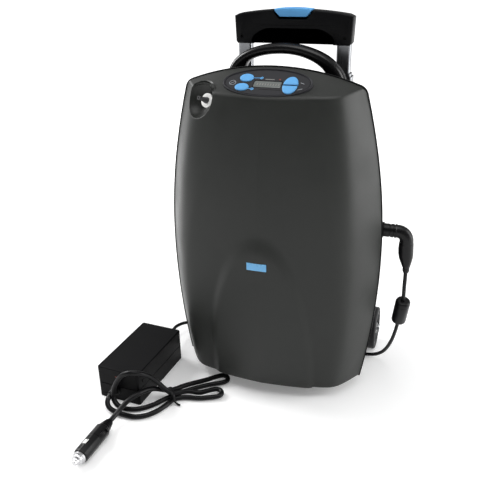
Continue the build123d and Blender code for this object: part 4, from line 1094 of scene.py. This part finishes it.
def facet(turn, sides=8, softness=0.965):
    """Share of the radius at an angle on a section with flats."""
    slice_width = 360.0 / sides
    off = math.radians((turn % slice_width) - slice_width / 2)
    return min(1.0, max(softness, math.cos(math.radians(slice_width / 2)) / math.cos(off) * 1.03))


def faceted_body(name, profile, slot, count=96):
    rows = []
    for along, radius, flat in profile:
        row = []
        for index in range(count):
            turn = 360.0 * index / count
            share = facet(turn) if flat else 1.0
            row.append(plug_point(along, radius * share, turn))
        rows.append(row)
    return loft(name, rows, slot, sharp=28.0)


def make_lighter_plug():
    """Ringed relief, flat-sided grip, thumb ridge, spring fin, a white patch of painted highlight and stepped
    metal nose.
    """
    relief = [(0, 4.6), (1.0, 5.2)] + ribbed(1.5, 11.0, 5.6, 8.0, 4)[:-2]
    pieces = [lathe("plug_relief", PLUG_TAIL, PLUG_ALONG, relief + [(11.5, 8.2), (17.5, 9.4), (19, 8.6)],
                    "lead_black")]
    body = faceted_body("plug_grip", [
        (15.5, 8.2, False), (16.5, 9.6, True), (18.5, 10.8, True), (38.6, 10.8, True), (39.0, 10.3, True),
        (40.0, 10.3, True), (40.4, 10.8, True), (71.5, 10.6, True), (73.2, 10.0, True), (74.2, 8.8, False)],
        "lead_black")
    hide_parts("lighter_plug")
    rows = []
    turn, half = RIDGE_TURN, 16.0
    rises = ((19, -0.8), (22, 0.6), (24, 2.2), (27, 3.2), (31, 3.4), (34, 2.4), (37.5, 0.6), (39, -0.8))
    for along, rise in rises:
        top = 10.6 + rise
        rows.append([plug_point(along, 8.0, turn - half), plug_point(along, top - 0.5, turn - half),
                     plug_point(along, top, turn - half * 0.6), plug_point(along, top, turn + half * 0.6),
                     plug_point(along, top - 0.5, turn + half), plug_point(along, 8.0, turn + half)])
    pieces += [body, loft("thumb_ridge", rows, "lead_black", sharp=50.0)]
    for index in range(5):
        start = 24.4 + 1.9 * index
        edge = ((start, 12.6), (start + 0.45, 14.4), (start + 0.9, 12.6))
        turns = (RIDGE_TURN - 12, RIDGE_TURN, RIDGE_TURN + 12)
        pieces.append(loft("ridge_rib", [[plug_point(a, r, t) for a, r in edge] for t in turns],
                           "lead_black"))
    fin_edge = ((21, 9.5), (23.5, 14.2), (25, 13.6), (38, 9.5))
    pieces.append(loft("spring_fin", [[plug_point(a, r, t) for a, r in fin_edge] for t in (100, 112)],
                       "lead_black"))
    # Painted highlight: a white patch laid on the glossy black body where a reflection shows, in the outlet
    # white material.
    highlight_edge = ((51.5, -4), (51.5, 26), (59.5, 26), (59.5, -4))
    pieces.append(loft("painted_highlight_patch", [[plug_point(a, r, t) for a, t in highlight_edge] for r in (9.4, 10.95)],
                       "outlet_white"))
    # Painted shade: near-black matte sheets laid on the body either side of the white patch; no step is cut
    # into the body.
    for low, high in ((42.5, 48.5), (62.5, 69.5)):
        edge = ((low, -2), (low, 24), (high, 24), (high, -2))
        shade_band = [[plug_point(a, r, t) for a, t in edge] for r in (9.6, 10.75)]
        piece = loft("painted_shade_band", shade_band, "lead_black")
        piece.data.materials[0] = NEAR_BLACK_AND_SHADE
        pieces.append(piece)
    nose = lathe("plug_nose", PLUG_TAIL, PLUG_ALONG, [
        (73.5, 8.0), (74.0, 9.0), (76.4, 9.0), (76.8, 8.1), (77.4, 7.0), (78.6, 7.0), (78.9, 7.6),
        (80.4, 7.2), (80.8, 5.4), (81.6, 4.6), (82.6, 4.6), (83.0, 5.3), (84.4, 5.0), (85.0, 3.8),
        (86.8, 3.4), (87.4, 2.2)],
        "steel")
    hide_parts("lighter_nose")
    return [*pieces, nose]


ADAPTER_REAR, ADAPTER_FRONT = make_adapter()
OUTPUT_END_PIECES = [make_power_plug(), make_ferrite(), NODES["adapter"], *ADAPTER_REAR]
INPUT_END_PIECES = [*ADAPTER_FRONT, *make_lighter_plug(), *make_tie()]

# ---------------------------------------------------------------- carried-over CAD nodes
for part in frame["record"]["subparts"]:
    node = NODES[part["node"]]
    node.data.materials.clear()
    node.data.materials.append(MATERIALS[part["material_slot"]])
